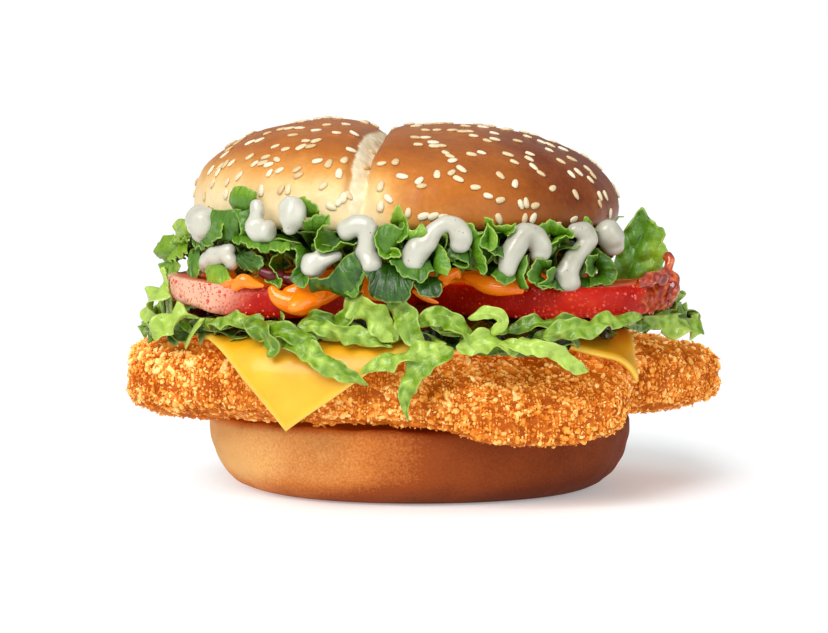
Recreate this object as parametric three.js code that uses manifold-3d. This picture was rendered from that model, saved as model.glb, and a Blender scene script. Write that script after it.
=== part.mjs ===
// A breaded-patty burger with a split sesame bun, built as separate solids that rest on each other.
// Millimetres, +Z up. The origin is the middle of the flat underside of the bottom bun.
// -Y is the side the fillings are pulled towards, and azimuths are measured from +X towards +Y.
import * as THREE from "three";
import { mergeVertices } from "three/addons/utils/BufferGeometryUtils.js";
import Module from "manifold-3d";

const wasm = await Module();
wasm.setup();

// ---------------------------------------------------------------- driving dimensions
const GAP = 0.35; // air left between two pieces that touch
const FRONT = -90; // azimuth of the front, in degrees

const HEEL = { radius: 54.9, footRadius: 41, height: 19.5, bulge: 17, edge: 2 };

const PATTY = { halfLength: 75.6, halfDepth: 60, bottom: 19.85, top: 40.6, squareness: 2.5, crag: 1 };

const CHEESE = { side: 84, thickness: 1.8, overhang: 4.2, bend: 8.5 };

const TOMATO = { thickness: 7.7, bottom: 47.7, skinRound: 1.6 };

const SAUCE = { thickness: 2.4, bottom: 55.8, radius: 46 };

const CROWN = { x: -3.5, radius: 55.6, bottom: 69.4, edge: 3, domeLeft: 25.2, domeRight: 23.4 };
const CREASE = { x: -9, lean: 0.2, depth: 5.6, reachLeft: 4.2, reachRight: 2.2 };
const SEED = { length: 3.4, width: 2, thickness: 1.15, count: 78 };

const SHRED = { thickness: 1, root: 9 };
const SKIRT = { z: 46.45, thickness: 1.35, over: 3.5, limit: 70, waves: 15, height: 2.8, swing: 2, hang: 4 };
const DOLLOP = { reach: 63 };
const LEAF = { thickness: 1.05, coreRadius: 49, coreBottom: 58.8, coreTop: 69 };

// ---------------------------------------------------------------- small maths
const rad = THREE.MathUtils.degToRad;
const mix = THREE.MathUtils.lerp;
const smooth = THREE.MathUtils.smoothstep;

// A bump of height 1 that falls away on both sides of its middle.
const bell = (distance, width) => Math.exp(-((distance / width) ** 2));

// The signed angle from b to a, in degrees, between -180 and 180.
const turn = (a, b) => ((((a - b + 180) % 360) + 360) % 360) - 180;

// A closed wavy line: a sum of whole-numbered waves, so that it meets itself after a full turn.
function wobble(angle, key) {
  return (
    Math.sin(2 * angle + key) * 0.4 +
    Math.sin(3 * angle + 2.1 * key) * 0.35 +
    Math.sin(5 * angle + 3.7 * key) * 0.25
  );
}

// A repeatable stream of numbers between 0 and 1.
function randomStream(seed) {
  let state = seed;
  return () => {
    state = (state + 0x6d2b79f5) | 0;
    let t = Math.imul(state ^ (state >>> 15), 1 | state);
    t = (t + Math.imul(t ^ (t >>> 7), 61 | t)) ^ t;
    return ((t ^ (t >>> 14)) >>> 0) / 4294967296;
  };
}

// ---------------------------------------------------------------- geometry from functions
function geometryOf(points, faces) {
  const geometry = new THREE.BufferGeometry();
  geometry.setAttribute("position", new THREE.Float32BufferAttribute(points.flatMap((p) => p.toArray()), 3));
  geometry.setIndex(faces);
  return geometry;
}

// Rings of points stacked between two poles: point(turn 0..2pi, 0..1) gives the surface from the top pole to the bottom one.
function ringGeometry(point, sides, rows) {
  const points = [point(0, 0)];
  for (let j = 1; j < rows; j++)
    for (let i = 0; i < sides; i++) points.push(point((2 * Math.PI * i) / sides, j / rows));
  points.push(point(0, 1));
  const faces = [];
  const at = (i, j) => 1 + (j - 1) * sides + (i % sides);
  for (let i = 0; i < sides; i++) {
    faces.push(0, at(i, 1), at(i + 1, 1));
    for (let j = 1; j < rows - 1; j++) {
      faces.push(at(i, j), at(i, j + 1), at(i + 1, j + 1), at(i, j), at(i + 1, j + 1), at(i + 1, j));
    }
    faces.push(at(i, rows - 1), points.length - 1, at(i + 1, rows - 1));
  }
  return geometryOf(points, faces);
}

// A thin wavy solid: the grid is offset to both sides along its normals, and both faces are split into
// triangles alike.
function sheetGeometry(grid, thickness) {
  const rows = grid.length;
  const columns = grid[0].length;
  const points = [];
  for (const side of [0.5, -0.5])
    for (let j = 0; j < rows; j++)
      for (let i = 0; i < columns; i++) {
        const across = grid[j][Math.min(i + 1, columns - 1)].clone().sub(grid[j][Math.max(i - 1, 0)]);
        const along = grid[Math.min(j + 1, rows - 1)][i].clone().sub(grid[Math.max(j - 1, 0)][i]);
        const normal = across.cross(along).normalize();
        points.push(grid[j][i].clone().addScaledVector(normal, side * thickness));
      }
  const faces = [];
  const at = (face, i, j) => face * rows * columns + j * columns + i;
  const quad = (a, b, c, d) => faces.push(a, b, c, a, c, d);
  for (let i = 0; i < columns - 1; i++) {
    for (let j = 0; j < rows - 1; j++) {
      quad(at(0, i, j), at(0, i + 1, j), at(0, i + 1, j + 1), at(0, i, j + 1));
      faces.push(at(1, i, j), at(1, i + 1, j + 1), at(1, i + 1, j), at(1, i, j), at(1, i, j + 1), at(1, i + 1, j + 1));
    }
    quad(at(0, i, 0), at(1, i, 0), at(1, i + 1, 0), at(0, i + 1, 0));
    quad(at(0, i + 1, rows - 1), at(1, i + 1, rows - 1), at(1, i, rows - 1), at(0, i, rows - 1));
  }
  for (let j = 0; j < rows - 1; j++) {
    const end = columns - 1;
    quad(at(0, 0, j + 1), at(1, 0, j + 1), at(1, 0, j), at(0, 0, j));
    quad(at(0, end, j), at(1, end, j), at(1, end, j + 1), at(0, end, j + 1));
  }
  return geometryOf(points, faces);
}

// A soft tube with round ends through a few points; each point is [x, y, z, radius].
function ropeGeometry(stations, sides, rows, grow = 0) {
  const line = new THREE.CatmullRomCurve3(stations.map(([x, y, z]) => new THREE.Vector3(x, y, z)));
  const radii = new THREE.CatmullRomCurve3(stations.map(([, , , r]) => new THREE.Vector3(r + grow, 0, 0)));
  const first = stations[0][3] + grow;
  const last = stations[stations.length - 1][3] + grow;
  return ringGeometry(
    (angle, v) => {
      const t = (1 - Math.cos(Math.PI * v)) / 2;
      const centre = line.getPoint(t);
      const tangent = line.getTangent(t);
      const side = new THREE.Vector3(0, 1, 0).cross(tangent).normalize();
      const other = tangent.clone().cross(side);
      // The two ends are half balls: the ring shrinks to a pole while it moves out along the line.
      const cap = Math.sin(Math.PI * v) ** 0.62;
      const reach = v < 0.5 ? -first : last;
      const radius = radii.getPoint(t).x * cap;
      return centre
        .addScaledVector(side, Math.cos(angle) * radius)
        .addScaledVector(other, Math.sin(angle) * radius)
        .addScaledVector(tangent, reach * 0.75 * Math.abs(Math.cos(Math.PI * v)) ** 3);
    },
    sides,
    rows,
  );
}

// ---------------------------------------------------------------- solids
function solidOf(geometry) {
  const bare = new THREE.BufferGeometry().setAttribute("position", geometry.getAttribute("position"));
  if (geometry.index) bare.setIndex(geometry.index);
  const merged = mergeVertices(bare, 1e-3);
  const make = (triVerts) =>
    new wasm.Manifold(
      new wasm.Mesh({ numProp: 3, vertProperties: merged.attributes.position.array, triVerts }),
    );
  const corners = new Uint32Array(merged.index.array);
  const solid = make(corners);
  if (solid.volume() >= 0) return solid;
  for (let i = 0; i < corners.length; i += 3) [corners[i + 1], corners[i + 2]] = [corners[i + 2], corners[i + 1]];
  return make(corners);
}

// The same surface moved out along its normals, which is cut from a neighbour to leave air between the two.
function grownSolid(geometry, distance) {
  const solid = solidOf(geometry);
  const grown = geometryFrom(solid);
  grown.computeVertexNormals();
  const place = grown.getAttribute("position");
  const normal = grown.getAttribute("normal");
  for (let i = 0; i < place.count; i++)
    place.setXYZ(
      i,
      place.getX(i) + normal.getX(i) * distance,
      place.getY(i) + normal.getY(i) * distance,
      place.getZ(i) + normal.getZ(i) * distance,
    );
  return solidOf(grown);
}

function geometryFrom(solid) {
  const mesh = solid.getMesh();
  const geometry = new THREE.BufferGeometry();
  geometry.setAttribute("position", new THREE.BufferAttribute(new Float32Array(mesh.vertProperties), 3));
  geometry.setIndex(new THREE.BufferAttribute(new Uint32Array(mesh.triVerts), 1));
  return geometry;
}

// Joining and cutting can leave a loose scrap or a sealed hollow: only the largest outer skin is kept.
function largestBody(solid) {
  return solid.decompose().reduce((best, piece) => (piece.volume() > best.volume() ? piece : best));
}

function cutRound(solid, neighbours) {
  return largestBody(neighbours.reduce((left, neighbour) => left.subtract(neighbour), solid));
}

const join = (solids) => wasm.Manifold.union(solids);

// ---------------------------------------------------------------- bottom bun
// A low bread drum: flat foot, full round lower edge, near-upright side and a cut top.
function heelPoint(angle, v) {
  const uneven = 1 + 0.008 * wobble(angle, 1.3);
  const side = (z) => mix(HEEL.footRadius, HEEL.radius, Math.sqrt(1 - (1 - Math.min(z / HEEL.bulge, 1)) ** 2));
  const topEnd = 0.25;
  const edgeEnd = 0.4;
  const sideEnd = 0.9;
  let radius;
  let z;
  if (v <= topEnd) {
    radius = (HEEL.radius - HEEL.edge) * (v / topEnd);
    z = HEEL.height;
  } else if (v <= edgeEnd) {
    const bend = ((v - topEnd) / (edgeEnd - topEnd)) * (Math.PI / 2);
    radius = HEEL.radius - HEEL.edge * (1 - Math.sin(bend));
    z = HEEL.height - HEEL.edge * (1 - Math.cos(bend));
  } else if (v <= sideEnd) {
    z = (HEEL.height - HEEL.edge) * (1 - ((v - edgeEnd) / (sideEnd - edgeEnd)) ** 0.75);
    radius = side(z);
  } else {
    radius = HEEL.footRadius * (1 - (v - sideEnd) / (1 - sideEnd));
    z = 0;
  }
  return new THREE.Vector3(radius * uneven * Math.cos(angle), radius * uneven * Math.sin(angle), z);
}

// ---------------------------------------------------------------- breaded patty
// Its outline seen from above: a long squarish slab with a lobe bulging to the front right, a deep fold
// between that lobe and the right end, and a shallow one towards the left end.
function pattyReach(angle) {
  const degrees = THREE.MathUtils.radToDeg(angle);
  const slab =
    (Math.abs(Math.cos(angle) / PATTY.halfLength) ** PATTY.squareness +
      Math.abs(Math.sin(angle) / PATTY.halfDepth) ** PATTY.squareness) **
    (-1 / PATTY.squareness);
  return (
    slab +
    5.5 * bell(turn(degrees, -68), 22) -
    17 * bell(turn(degrees, -30), 10) -
    3.5 * bell(turn(degrees, -141), 7) +
    1.6 * bell(turn(degrees, 3), 10) +
    1.5 * wobble(angle, 4.2)
  );
}

// How far the slab hangs below its flat middle at a place in the plan, once it is past the bun's edge.
function pattyDroop(x, y) {
  const past = Math.max(Math.hypot(x, y) - 48, 0);
  const azimuth = THREE.MathUtils.radToDeg(Math.atan2(y, x));
  return past * (0.03 + 0.38 * bell(turn(azimuth, -66), 26));
}

// Half the thickness, which is greatest in the left end.
const pattyHalf = (x) => ((PATTY.top - PATTY.bottom) / 2) * (1 + 0.1 * smooth(-x, 45, 65));

function pattyPoint(angle, v, grow = 0) {
  const lift = Math.PI * (0.5 - v);
  const squareness = 0.52;
  const across = Math.abs(Math.cos(lift)) ** squareness;
  const up = Math.sign(Math.sin(lift)) * Math.abs(Math.sin(lift)) ** squareness;
  const reach = pattyReach(angle) * across;
  const x = reach * Math.cos(angle);
  const y = reach * Math.sin(angle);
  const middle = (PATTY.top + PATTY.bottom) / 2 - pattyDroop(x, y);
  const sideLump = 1 + 0.03 * wobble(angle * 3, 0.7) * across;
  return new THREE.Vector3(
    x * sideLump + grow * across * Math.cos(angle),
    y * sideLump + grow * across * Math.sin(angle),
    middle + (pattyHalf(x) + grow) * up,
  );
}

function pattySolid(sides, rows) {
  const random = randomStream(11);
  const crusty = (angle, v) => {
    const point = pattyPoint(angle, v);
    const rough = PATTY.crag * (2 * random() - 1) * smooth(Math.sin(Math.PI * v), 0.25, 0.7);
    point.x += rough * Math.cos(angle);
    point.y += rough * Math.sin(angle);
    point.z += 0.6 * rough;
    return point;
  };
  return solidOf(ringGeometry(crusty, sides, rows));
}

// ---------------------------------------------------------------- cheese slices
// A slice is a square laid on the patty. It lies flat on top, and where it passes the patty's edge it bends
// over and follows the side down, as a distance along the patty's own profile.
function edgeAlong(direction, offset) {
  // How far the patty's flat top reaches along a plan direction, on a line shifted sideways by offset.
  let far = 0;
  for (let step = 20; step < 90; step += 0.5) {
    const x = step * Math.cos(direction) - offset * Math.sin(direction);
    const y = step * Math.sin(direction) + offset * Math.cos(direction);
    if (Math.hypot(x, y) < pattyReach(Math.atan2(y, x)) - CHEESE.overhang) far = step;
  }
  return far;
}

function slicePoint(slice, across, along, lift) {
  const turned = rad(slice.turn);
  const x = slice.x + across * Math.cos(turned) - along * Math.sin(turned);
  const y = slice.y + across * Math.sin(turned) + along * Math.cos(turned);
  const fold = rad(slice.fold);
  const out = x * Math.cos(fold) + y * Math.sin(fold);
  const offset = -x * Math.sin(fold) + y * Math.cos(fold);
  const edge = slice.edgeTable(offset);
  const past = out - edge;
  const steep = rad(slice.steep);
  let away = out;
  let drop = 0;
  if (past > 0) {
    const angle = Math.min(past / CHEESE.bend, steep);
    const rest = Math.max(past - CHEESE.bend * steep, 0);
    away = edge + (CHEESE.bend + lift) * Math.sin(angle) + rest * Math.cos(steep);
    drop = (CHEESE.bend + lift) * (1 - Math.cos(angle)) + rest * Math.sin(steep);
  }
  return new THREE.Vector3(
    away * Math.cos(fold) - offset * Math.sin(fold),
    away * Math.sin(fold) + offset * Math.cos(fold),
    PATTY.top + 2 * GAP + slice.raise + lift - drop,
  );
}

function sliceGeometry(slice, steps, grow = 0) {
  const samples = [];
  for (let offset = -70; offset <= 70; offset += 5) samples.push(edgeAlong(rad(slice.fold), offset));
  slice.edgeTable = (offset) => {
    const at = Math.min(Math.max((offset + 70) / 5, 0), samples.length - 1.001);
    const low = Math.floor(at);
    return mix(samples[low], samples[low + 1], at - low);
  };
  const half = CHEESE.side / 2 + grow;
  const grid = [];
  for (let j = 0; j <= steps; j++) {
    const row = [];
    for (let i = 0; i <= steps; i++)
      row.push(
        slicePoint(slice, mix(-half, half, i / steps), mix(-half, half, j / steps), CHEESE.thickness / 2),
      );
    grid.push(row);
  }
  return sheetGeometry(grid, CHEESE.thickness + 2 * grow);
}

// The lower slice hangs its corner over the front left; the upper one shows a corner at the right.
const SLICES = {
  cheese_front: { x: -16, y: -22.4, turn: 22.5, fold: -113, steep: 80, raise: 0 },
  cheese_right: { x: 8.4, y: -6.5, turn: 8.3, fold: -36.7, steep: 48, raise: 2.2 },
};

// ---------------------------------------------------------------- tomato slices
const TOMATOES = {
  tomato_left: { x: -33.6, y: -21.5, radius: 32, key: 0.4 },
  tomato_right: { x: 34.4, y: -21.5, radius: 32.5, key: 2.2 },
  tomato_back: { x: 1, y: 29.6, radius: 25.6, key: 5.1 },
};

function tomatoPoint(slice, angle, v, grow = 0) {
  const half = TOMATO.thickness / 2;
  const round = TOMATO.skinRound;
  const reach = slice.radius * (1 + 0.02 * wobble(angle, slice.key));
  let radius = reach;
  let z = 0;
  const flatEnd = 0.3;
  if (v < flatEnd || v > 1 - flatEnd) {
    radius = (reach - round) * (v < 0.5 ? v / flatEnd : (1 - v) / flatEnd);
    z = v < 0.5 ? half : -half;
  } else {
    const bend = mix(Math.PI / 2, -Math.PI / 2, (v - flatEnd) / (1 - 2 * flatEnd));
    radius = reach - round + round * Math.cos(bend);
    z = half * Math.sign(Math.sin(bend)) * Math.abs(Math.sin(bend)) ** 0.6;
  }
  const x = slice.x + (radius + grow) * Math.cos(angle);
  const y = slice.y + (radius + grow) * Math.sin(angle);
  return new THREE.Vector3(x, y, TOMATO.bottom + half + z + Math.sign(z) * grow);
}

// ---------------------------------------------------------------- orange sauce
// One poured puddle on the tomatoes. Its edge runs in and out, and two tongues hang over the front slices.
const TONGUES = [
  { at: -158, reach: 19, width: 8, drop: 0.3 },
  { at: -135, reach: 27, width: 6, drop: 1 },
  { at: -118, reach: 24, width: 8, drop: 6 },
  { at: -103, reach: 10, width: 5, drop: 2.5 },
  { at: -88, reach: 8, width: 5, drop: 2 },
  { at: -67, reach: 13, width: 11, drop: 1 },
  { at: -20, reach: 16, width: 9, drop: 0.3 },
];

const tonguesAt = (angle, key) =>
  TONGUES.reduce(
    (sum, tongue) => sum + tongue[key] * bell(turn(THREE.MathUtils.radToDeg(angle), tongue.at), tongue.width),
    0,
  );

const sauceReach = (angle) => SAUCE.radius * (0.94 + 0.05 * wobble(angle, 3.3)) + tonguesAt(angle, "reach");

function saucePoint(angle, v, grow = 0) {
  const lift = Math.PI * (0.5 - v);
  const across = Math.abs(Math.cos(lift)) ** 0.5;
  const up = Math.sign(Math.sin(lift)) * Math.abs(Math.sin(lift)) ** 0.7;
  const reach = (sauceReach(angle) + grow) * across;
  const hang = tonguesAt(angle, "drop") * smooth(reach, sauceReach(angle) - 9, sauceReach(angle));
  return new THREE.Vector3(
    reach * Math.cos(angle),
    reach * Math.sin(angle),
    SAUCE.bottom + SAUCE.thickness / 2 - hang + (SAUCE.thickness / 2 + 0.5 * hang + grow) * up,
  );
}

// ---------------------------------------------------------------- top bun
// The crease between the two lobes is a line from front to back, a little left of the middle. The dome's
// rings are centred on that line and its spokes crowd towards it, so that the fold stays sharp.
const creaseAzimuth = Math.atan2(1, CREASE.lean);

function creaseCut(x, y) {
  const side = (x - CREASE.x - CREASE.lean * y) * Math.sin(creaseAzimuth);
  const width = side < 0 ? CREASE.reachLeft : CREASE.reachRight;
  return CREASE.depth * Math.exp(-(Math.abs(side / width) ** 1.4)) + 1.3 * bell(side, 15);
}

function crownPoint(turned, v, grow = 0) {
  const domeEnd = 0.62;
  const edgeEnd = 0.75;
  const angle = turned + creaseAzimuth - 0.38 * Math.sin(2 * turned);
  // The spoke runs from the crease point to the round rim.
  const toCrease = CREASE.x - CROWN.x;
  const across = toCrease * Math.cos(angle);
  const rim = CROWN.radius * (1 + 0.006 * wobble(angle, 2.6)) + grow;
  const spoke = Math.sqrt(across ** 2 - toCrease ** 2 + rim ** 2) - across;
  let out;
  let z;
  let soft = 1;
  if (v <= domeEnd) {
    out = spoke * Math.sin((v / domeEnd) * (Math.PI / 2)) ** 0.95;
    const x = CREASE.x + out * Math.cos(angle);
    const left = smooth(CREASE.x - x, -12, 18);
    const power = mix(2.2, 2.55, left);
    const share = Math.min(Math.hypot(x - CROWN.x, out * Math.sin(angle)) / rim, 1);
    z = CROWN.edge + (mix(CROWN.domeRight, CROWN.domeLeft, left) + grow) * (1 - share ** power) ** (1 / power);
  } else if (v <= edgeEnd) {
    const bend = ((v - domeEnd) / (edgeEnd - domeEnd)) * (Math.PI / 2);
    out = spoke - CROWN.edge * (1 - Math.cos(bend));
    z = CROWN.edge - (CROWN.edge + grow) * Math.sin(bend);
    soft = Math.cos(bend);
  } else {
    out = (spoke - CROWN.edge) * ((1 - v) / (1 - edgeEnd));
    z = -grow;
    soft = 0;
  }
  const point = new THREE.Vector3(CREASE.x + out * Math.cos(angle), out * Math.sin(angle), CROWN.bottom + z);
  const heart = new THREE.Vector3(CROWN.x, 0, CROWN.bottom - 12);
  const inward = heart.sub(point).normalize();
  return point.addScaledVector(inward, soft * creaseCut(point.x, point.y));
}

// A seed is a six-sided drop with a blunt and a pointed end, half sunk in the crust.
function seedGeometry(place, outward, heading) {
  const seed = new THREE.Object3D();
  seed.position.copy(place);
  seed.lookAt(place.clone().add(outward));
  seed.rotateZ(heading);
  seed.updateMatrix();
  const outline = [
    [0.5, 0],
    [0.24, 0.5],
    [-0.3, 0.42],
    [-0.5, 0],
    [-0.3, -0.42],
    [0.24, -0.5],
  ];
  const rim = outline.map(([x, y]) => new THREE.Vector3(x * SEED.length, y * SEED.width, 0));
  const points = [...rim, new THREE.Vector3(0.2, 0, SEED.thickness / 2), new THREE.Vector3(0.2, 0, -0.5)];
  const faces = [];
  for (let i = 0; i < 6; i++) faces.push(i, (i + 1) % 6, 6, (i + 1) % 6, i, 7);
  points.forEach((p) => p.applyMatrix4(seed.matrix));
  return geometryOf(points, faces);
}

// Seeds are scattered over the dome at even spacing, more thinly towards the rim and not in the crease.
function seedGeometries() {
  const random = randomStream(7);
  const placed = [];
  const made = [];
  for (let tries = 0; placed.length < SEED.count && tries < 6000; tries++) {
    const angle = 2 * Math.PI * random();
    const v = 0.58 * Math.sqrt(random());
    const heading = Math.PI * random();
    const place = crownPoint(angle, v);
    const near = placed.some((other) => other.distanceTo(place) < 6.2);
    if (near || v > 0.5 + 0.06 * random() || Math.abs(place.x - CREASE.x - CREASE.lean * place.y) < 4.5) continue;
    placed.push(place);
    const step = 0.02;
    const along = crownPoint(angle, v + step).sub(crownPoint(angle, Math.max(v - step, 0.001)));
    const around = crownPoint(angle + step, v).sub(crownPoint(angle - step, v));
    const outward = along.cross(around).normalize();
    made.push(seedGeometry(place.clone().addScaledVector(outward, 0.1), outward, heading));
  }
  return made;
}

// ---------------------------------------------------------------- white sauce dollops
// Each dollop is a soft rope through a few stations [x, z, radius], hanging on the salad's round side: the
// first list on the front, the second on the far side.
const FRONT_DOLLOPS = [
  [[-56.4, 70.8, 4.3], [-54.8, 67.2, 3.5]],
  [[-41, 75, 2], [-40.6, 71, 2.5], [-39.4, 67.6, 4.3]],
  [[-31.4, 74.4, 3.9], [-30.8, 71.2, 3.6], [-32, 68.4, 2]],
  [[-47.3, 64, 2.4], [-51.2, 61.8, 3], [-53.4, 58.8, 2.9]],
  [[-27.4, 60.8, 3.6], [-23.8, 61.8, 3], [-20.4, 62.4, 1.7]],
  [[-19.3, 70, 3.5], [-15.2, 71.6, 3.4], [-11.4, 67, 3], [-10.2, 60.8, 3.8]],
  [[-1.2, 61.9, 4.1], [2.3, 65.9, 3.3], [6, 70.6, 2.8], [11, 70.1, 3.1], [11.6, 66.8, 3.2]],
  [[21.2, 60.2, 2.8], [22.9, 65.4, 3.3], [26.6, 69.4, 3.1], [30.6, 66.8, 2.9]],
  [[42.8, 69.5, 3.7], [40.3, 64.7, 2.5], [37.2, 61, 3], [36, 57.2, 3.8]],
  [[47.6, 69, 3.9], [48.6, 65.8, 3.6]],
];

const BACK_DOLLOPS = [
  [[38.5, 66.8, 3], [41.5, 62.6, 2.6], [44.2, 58.6, 3.3]],
  [[8.5, 67.6, 3.4], [4.6, 63.8, 2.8], [1.8, 59.2, 3.5]],
  [[-27, 67, 3.2], [-30.5, 62.4, 3.9]],
  [[-53, 67.6, 2.8], [-55.5, 63.2, 2.6], [-57.5, 59.2, 3.4]],
];

function dollopGeometry(stations, side, grow = 0) {
  const onSalad = stations.map(([x, z, radius]) => [x, side * Math.sqrt(DOLLOP.reach ** 2 - x ** 2), z, radius]);
  return ropeGeometry(onSalad, 6, 4 + Math.ceil(1.5 * stations.length), grow);
}

// ---------------------------------------------------------------- room for the salad
// The highest thing under the frilly leaves at a place in the plan, and the lowest thing over them.
function fillingTop(x, y) {
  const onTomato = Object.values(TOMATOES).some((slice) => Math.hypot(x - slice.x, y - slice.y) < slice.radius + 1.5);
  const onSauce = Math.hypot(x, y) < sauceReach(Math.atan2(y, x)) + 1.5;
  if (onSauce) return SAUCE.bottom + SAUCE.thickness;
  return onTomato ? TOMATO.bottom + TOMATO.thickness : -Infinity;
}

const crownFloor = (x, y) => (Math.hypot(x - CROWN.x, y) < CROWN.radius + 1 ? CROWN.bottom : Infinity);

// The highest thing under the shredded leaves, and the lowest thing over them.
function coverTop(x, y) {
  if (Math.hypot(x, y) > pattyReach(Math.atan2(y, x))) return -Infinity;
  return PATTY.top + 2 * GAP + CHEESE.thickness;
}

function tomatoFloor(x, y) {
  const under = Object.values(TOMATOES).some((slice) => Math.hypot(x - slice.x, y - slice.y) < slice.radius + 1);
  return under ? TOMATO.bottom : Infinity;
}

// Leaves are pressed flat between what is under and over them, and spring free beyond it.
function pressed(point, thickness, floor, ceiling) {
  const room = GAP + thickness / 2;
  const low = floor(point.x, point.y) + room;
  const high = ceiling(point.x, point.y) - room;
  point.z = Math.max(Math.min(point.z, high), low);
  return point;
}

// ---------------------------------------------------------------- frilly leaves
// A leaf fans out from the salad's core. Towards its margin it is much longer than the arc it spans, so it
// folds to and fro: its heading swings as fold * sin(wave), and the swing grows from the core to the margin.
function leafGrid(leaf, columns, rows) {
  const grid = [];
  for (let j = 0; j <= rows; j++) {
    const v = j / rows;
    const swing = leaf.fold * v ** 1.2;
    const heading = (u) => swing * Math.sin(2 * Math.PI * leaf.waves * u + leaf.phase + 0.5 * Math.sin(7 * u));
    const tangential = [0];
    const upright = [0];
    for (let i = 1; i <= columns; i++) {
      const turned = heading((i - 0.5) / columns);
      tangential.push(tangential[i - 1] + Math.cos(turned));
      upright.push(upright[i - 1] + Math.sin(turned));
    }
    const length = tangential[columns];
    const mean = upright.reduce((sum, value) => sum + value, 0) / (columns + 1);
    const radius = mix(leaf.from, leaf.to, v);
    const arc = rad(leaf.span) * mix(leaf.from, leaf.to, 0.75);
    const row = [];
    for (let i = 0; i <= columns; i++) {
      const u = tangential[i] / length;
      const azimuth = rad(leaf.at) + ((u - 0.5) * arc) / Math.max(radius, 30);
      const rise = ((upright[i] - mean) / length) * arc;
      const ragged = 1 + v * (0.035 * Math.sin(11 * u + leaf.phase) - 0.09 * (2 * u - 1) ** 4);
      const tip = leaf.tip * v ** 2 * bell(u - 0.5, 0.3);
      const z = mix(leaf.low, leaf.high, v ** 1.5) + rise + tip;
      const reach = radius * ragged + 0.35 * rise * v;
      const point = new THREE.Vector3(reach * Math.cos(azimuth), reach * Math.sin(azimuth), z);
      row.push(pressed(point, LEAF.thickness, fillingTop, crownFloor));
    }
    grid.push(row);
  }
  return grid;
}

const LEAVES = [
  // Seen from the front, from left to right: a lower row and an upper row.
  { at: -156, span: 32, from: 43, to: 66.5, low: 62, high: 59.5, tip: 0, waves: 2, fold: 1.15, phase: 3.4 },
  { at: -116, span: 34, from: 43, to: 65, low: 62, high: 57, tip: 0, waves: 2.5, fold: 1.2, phase: 2.2 },
  { at: -82, span: 30, from: 43, to: 65, low: 62, high: 58, tip: 0, waves: 2.5, fold: 1.2, phase: 4.1 },
  { at: -50, span: 30, from: 43, to: 65, low: 62, high: 59, tip: 0, waves: 2, fold: 1.2, phase: 0.9 },
  { at: -134, span: 36, from: 43, to: 62, low: 67, high: 68, tip: 4, waves: 2.5, fold: 1.25, phase: 1.2 },
  { at: -96, span: 36, from: 43, to: 62, low: 67, high: 68, tip: 1, waves: 2.5, fold: 1.3, phase: 5.2 },
  { at: -60, span: 34, from: 43, to: 62, low: 67, high: 68, tip: 1, waves: 2.5, fold: 1.3, phase: 2.9 },
  // The far side.
  { at: 16, span: 42, from: 43, to: 64, low: 65, high: 63, tip: 0, waves: 2.5, fold: 1.3, phase: 0.8 },
  { at: 60, span: 42, from: 43, to: 65, low: 65, high: 62, tip: 0, waves: 2.5, fold: 1.3, phase: 3.5 },
  { at: 103, span: 42, from: 43, to: 66, low: 65, high: 63, tip: 0, waves: 2.5, fold: 1.3, phase: 1.7 },
  { at: 150, span: 48, from: 43, to: 64, low: 65, high: 62, tip: 0, waves: 2.5, fold: 1.2, phase: 5.1 },
];

// The tall pointed leaf at the right end stands on edge, with its face to the front.
const STANDING = { inner: 41, outer: 65.5, y: -20, foot: 57.5, shoulder: 67, peak: 76, peakX: 57 };

function standingGrid(columns, rows) {
  const grid = [];
  for (let j = 0; j <= rows; j++) {
    const row = [];
    for (let i = 0; i <= columns; i++) {
      const u = i / columns;
      const x = mix(STANDING.inner, STANDING.outer, u);
      const crest = mix(STANDING.shoulder, STANDING.peak, Math.max(1 - Math.abs(x - STANDING.peakX) / 9, 0));
      const z = mix(STANDING.foot + 4 * (u - 0.4) ** 2, crest + Math.sin(5 * i), j / rows);
      const y = STANDING.y - 5 * u + 2.2 * Math.sin(2.3 * i + 1.4 * j);
      const point = new THREE.Vector3(x + 1.2 * Math.sin(2.6 * j) * u, y, z);
      row.push(pressed(point, LEAF.thickness, fillingTop, crownFloor));
    }
    grid.push(row);
  }
  return grid;
}

// The heart of the salad, that all the leaves grow out of: a flat round cake with a soft rim.
function heartPoint(angle, v) {
  const lift = Math.PI * (0.5 - v);
  const across = Math.abs(Math.cos(lift)) ** 0.35;
  const up = Math.sign(Math.sin(lift)) * Math.abs(Math.sin(lift)) ** 0.5;
  const reach = LEAF.coreRadius * (1 + 0.05 * wobble(angle, 0.8)) * across;
  const z = mix(LEAF.coreBottom, LEAF.coreTop, 0.5 + up / 2);
  return new THREE.Vector3(reach * Math.cos(angle), reach * Math.sin(angle), z);
}

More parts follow.
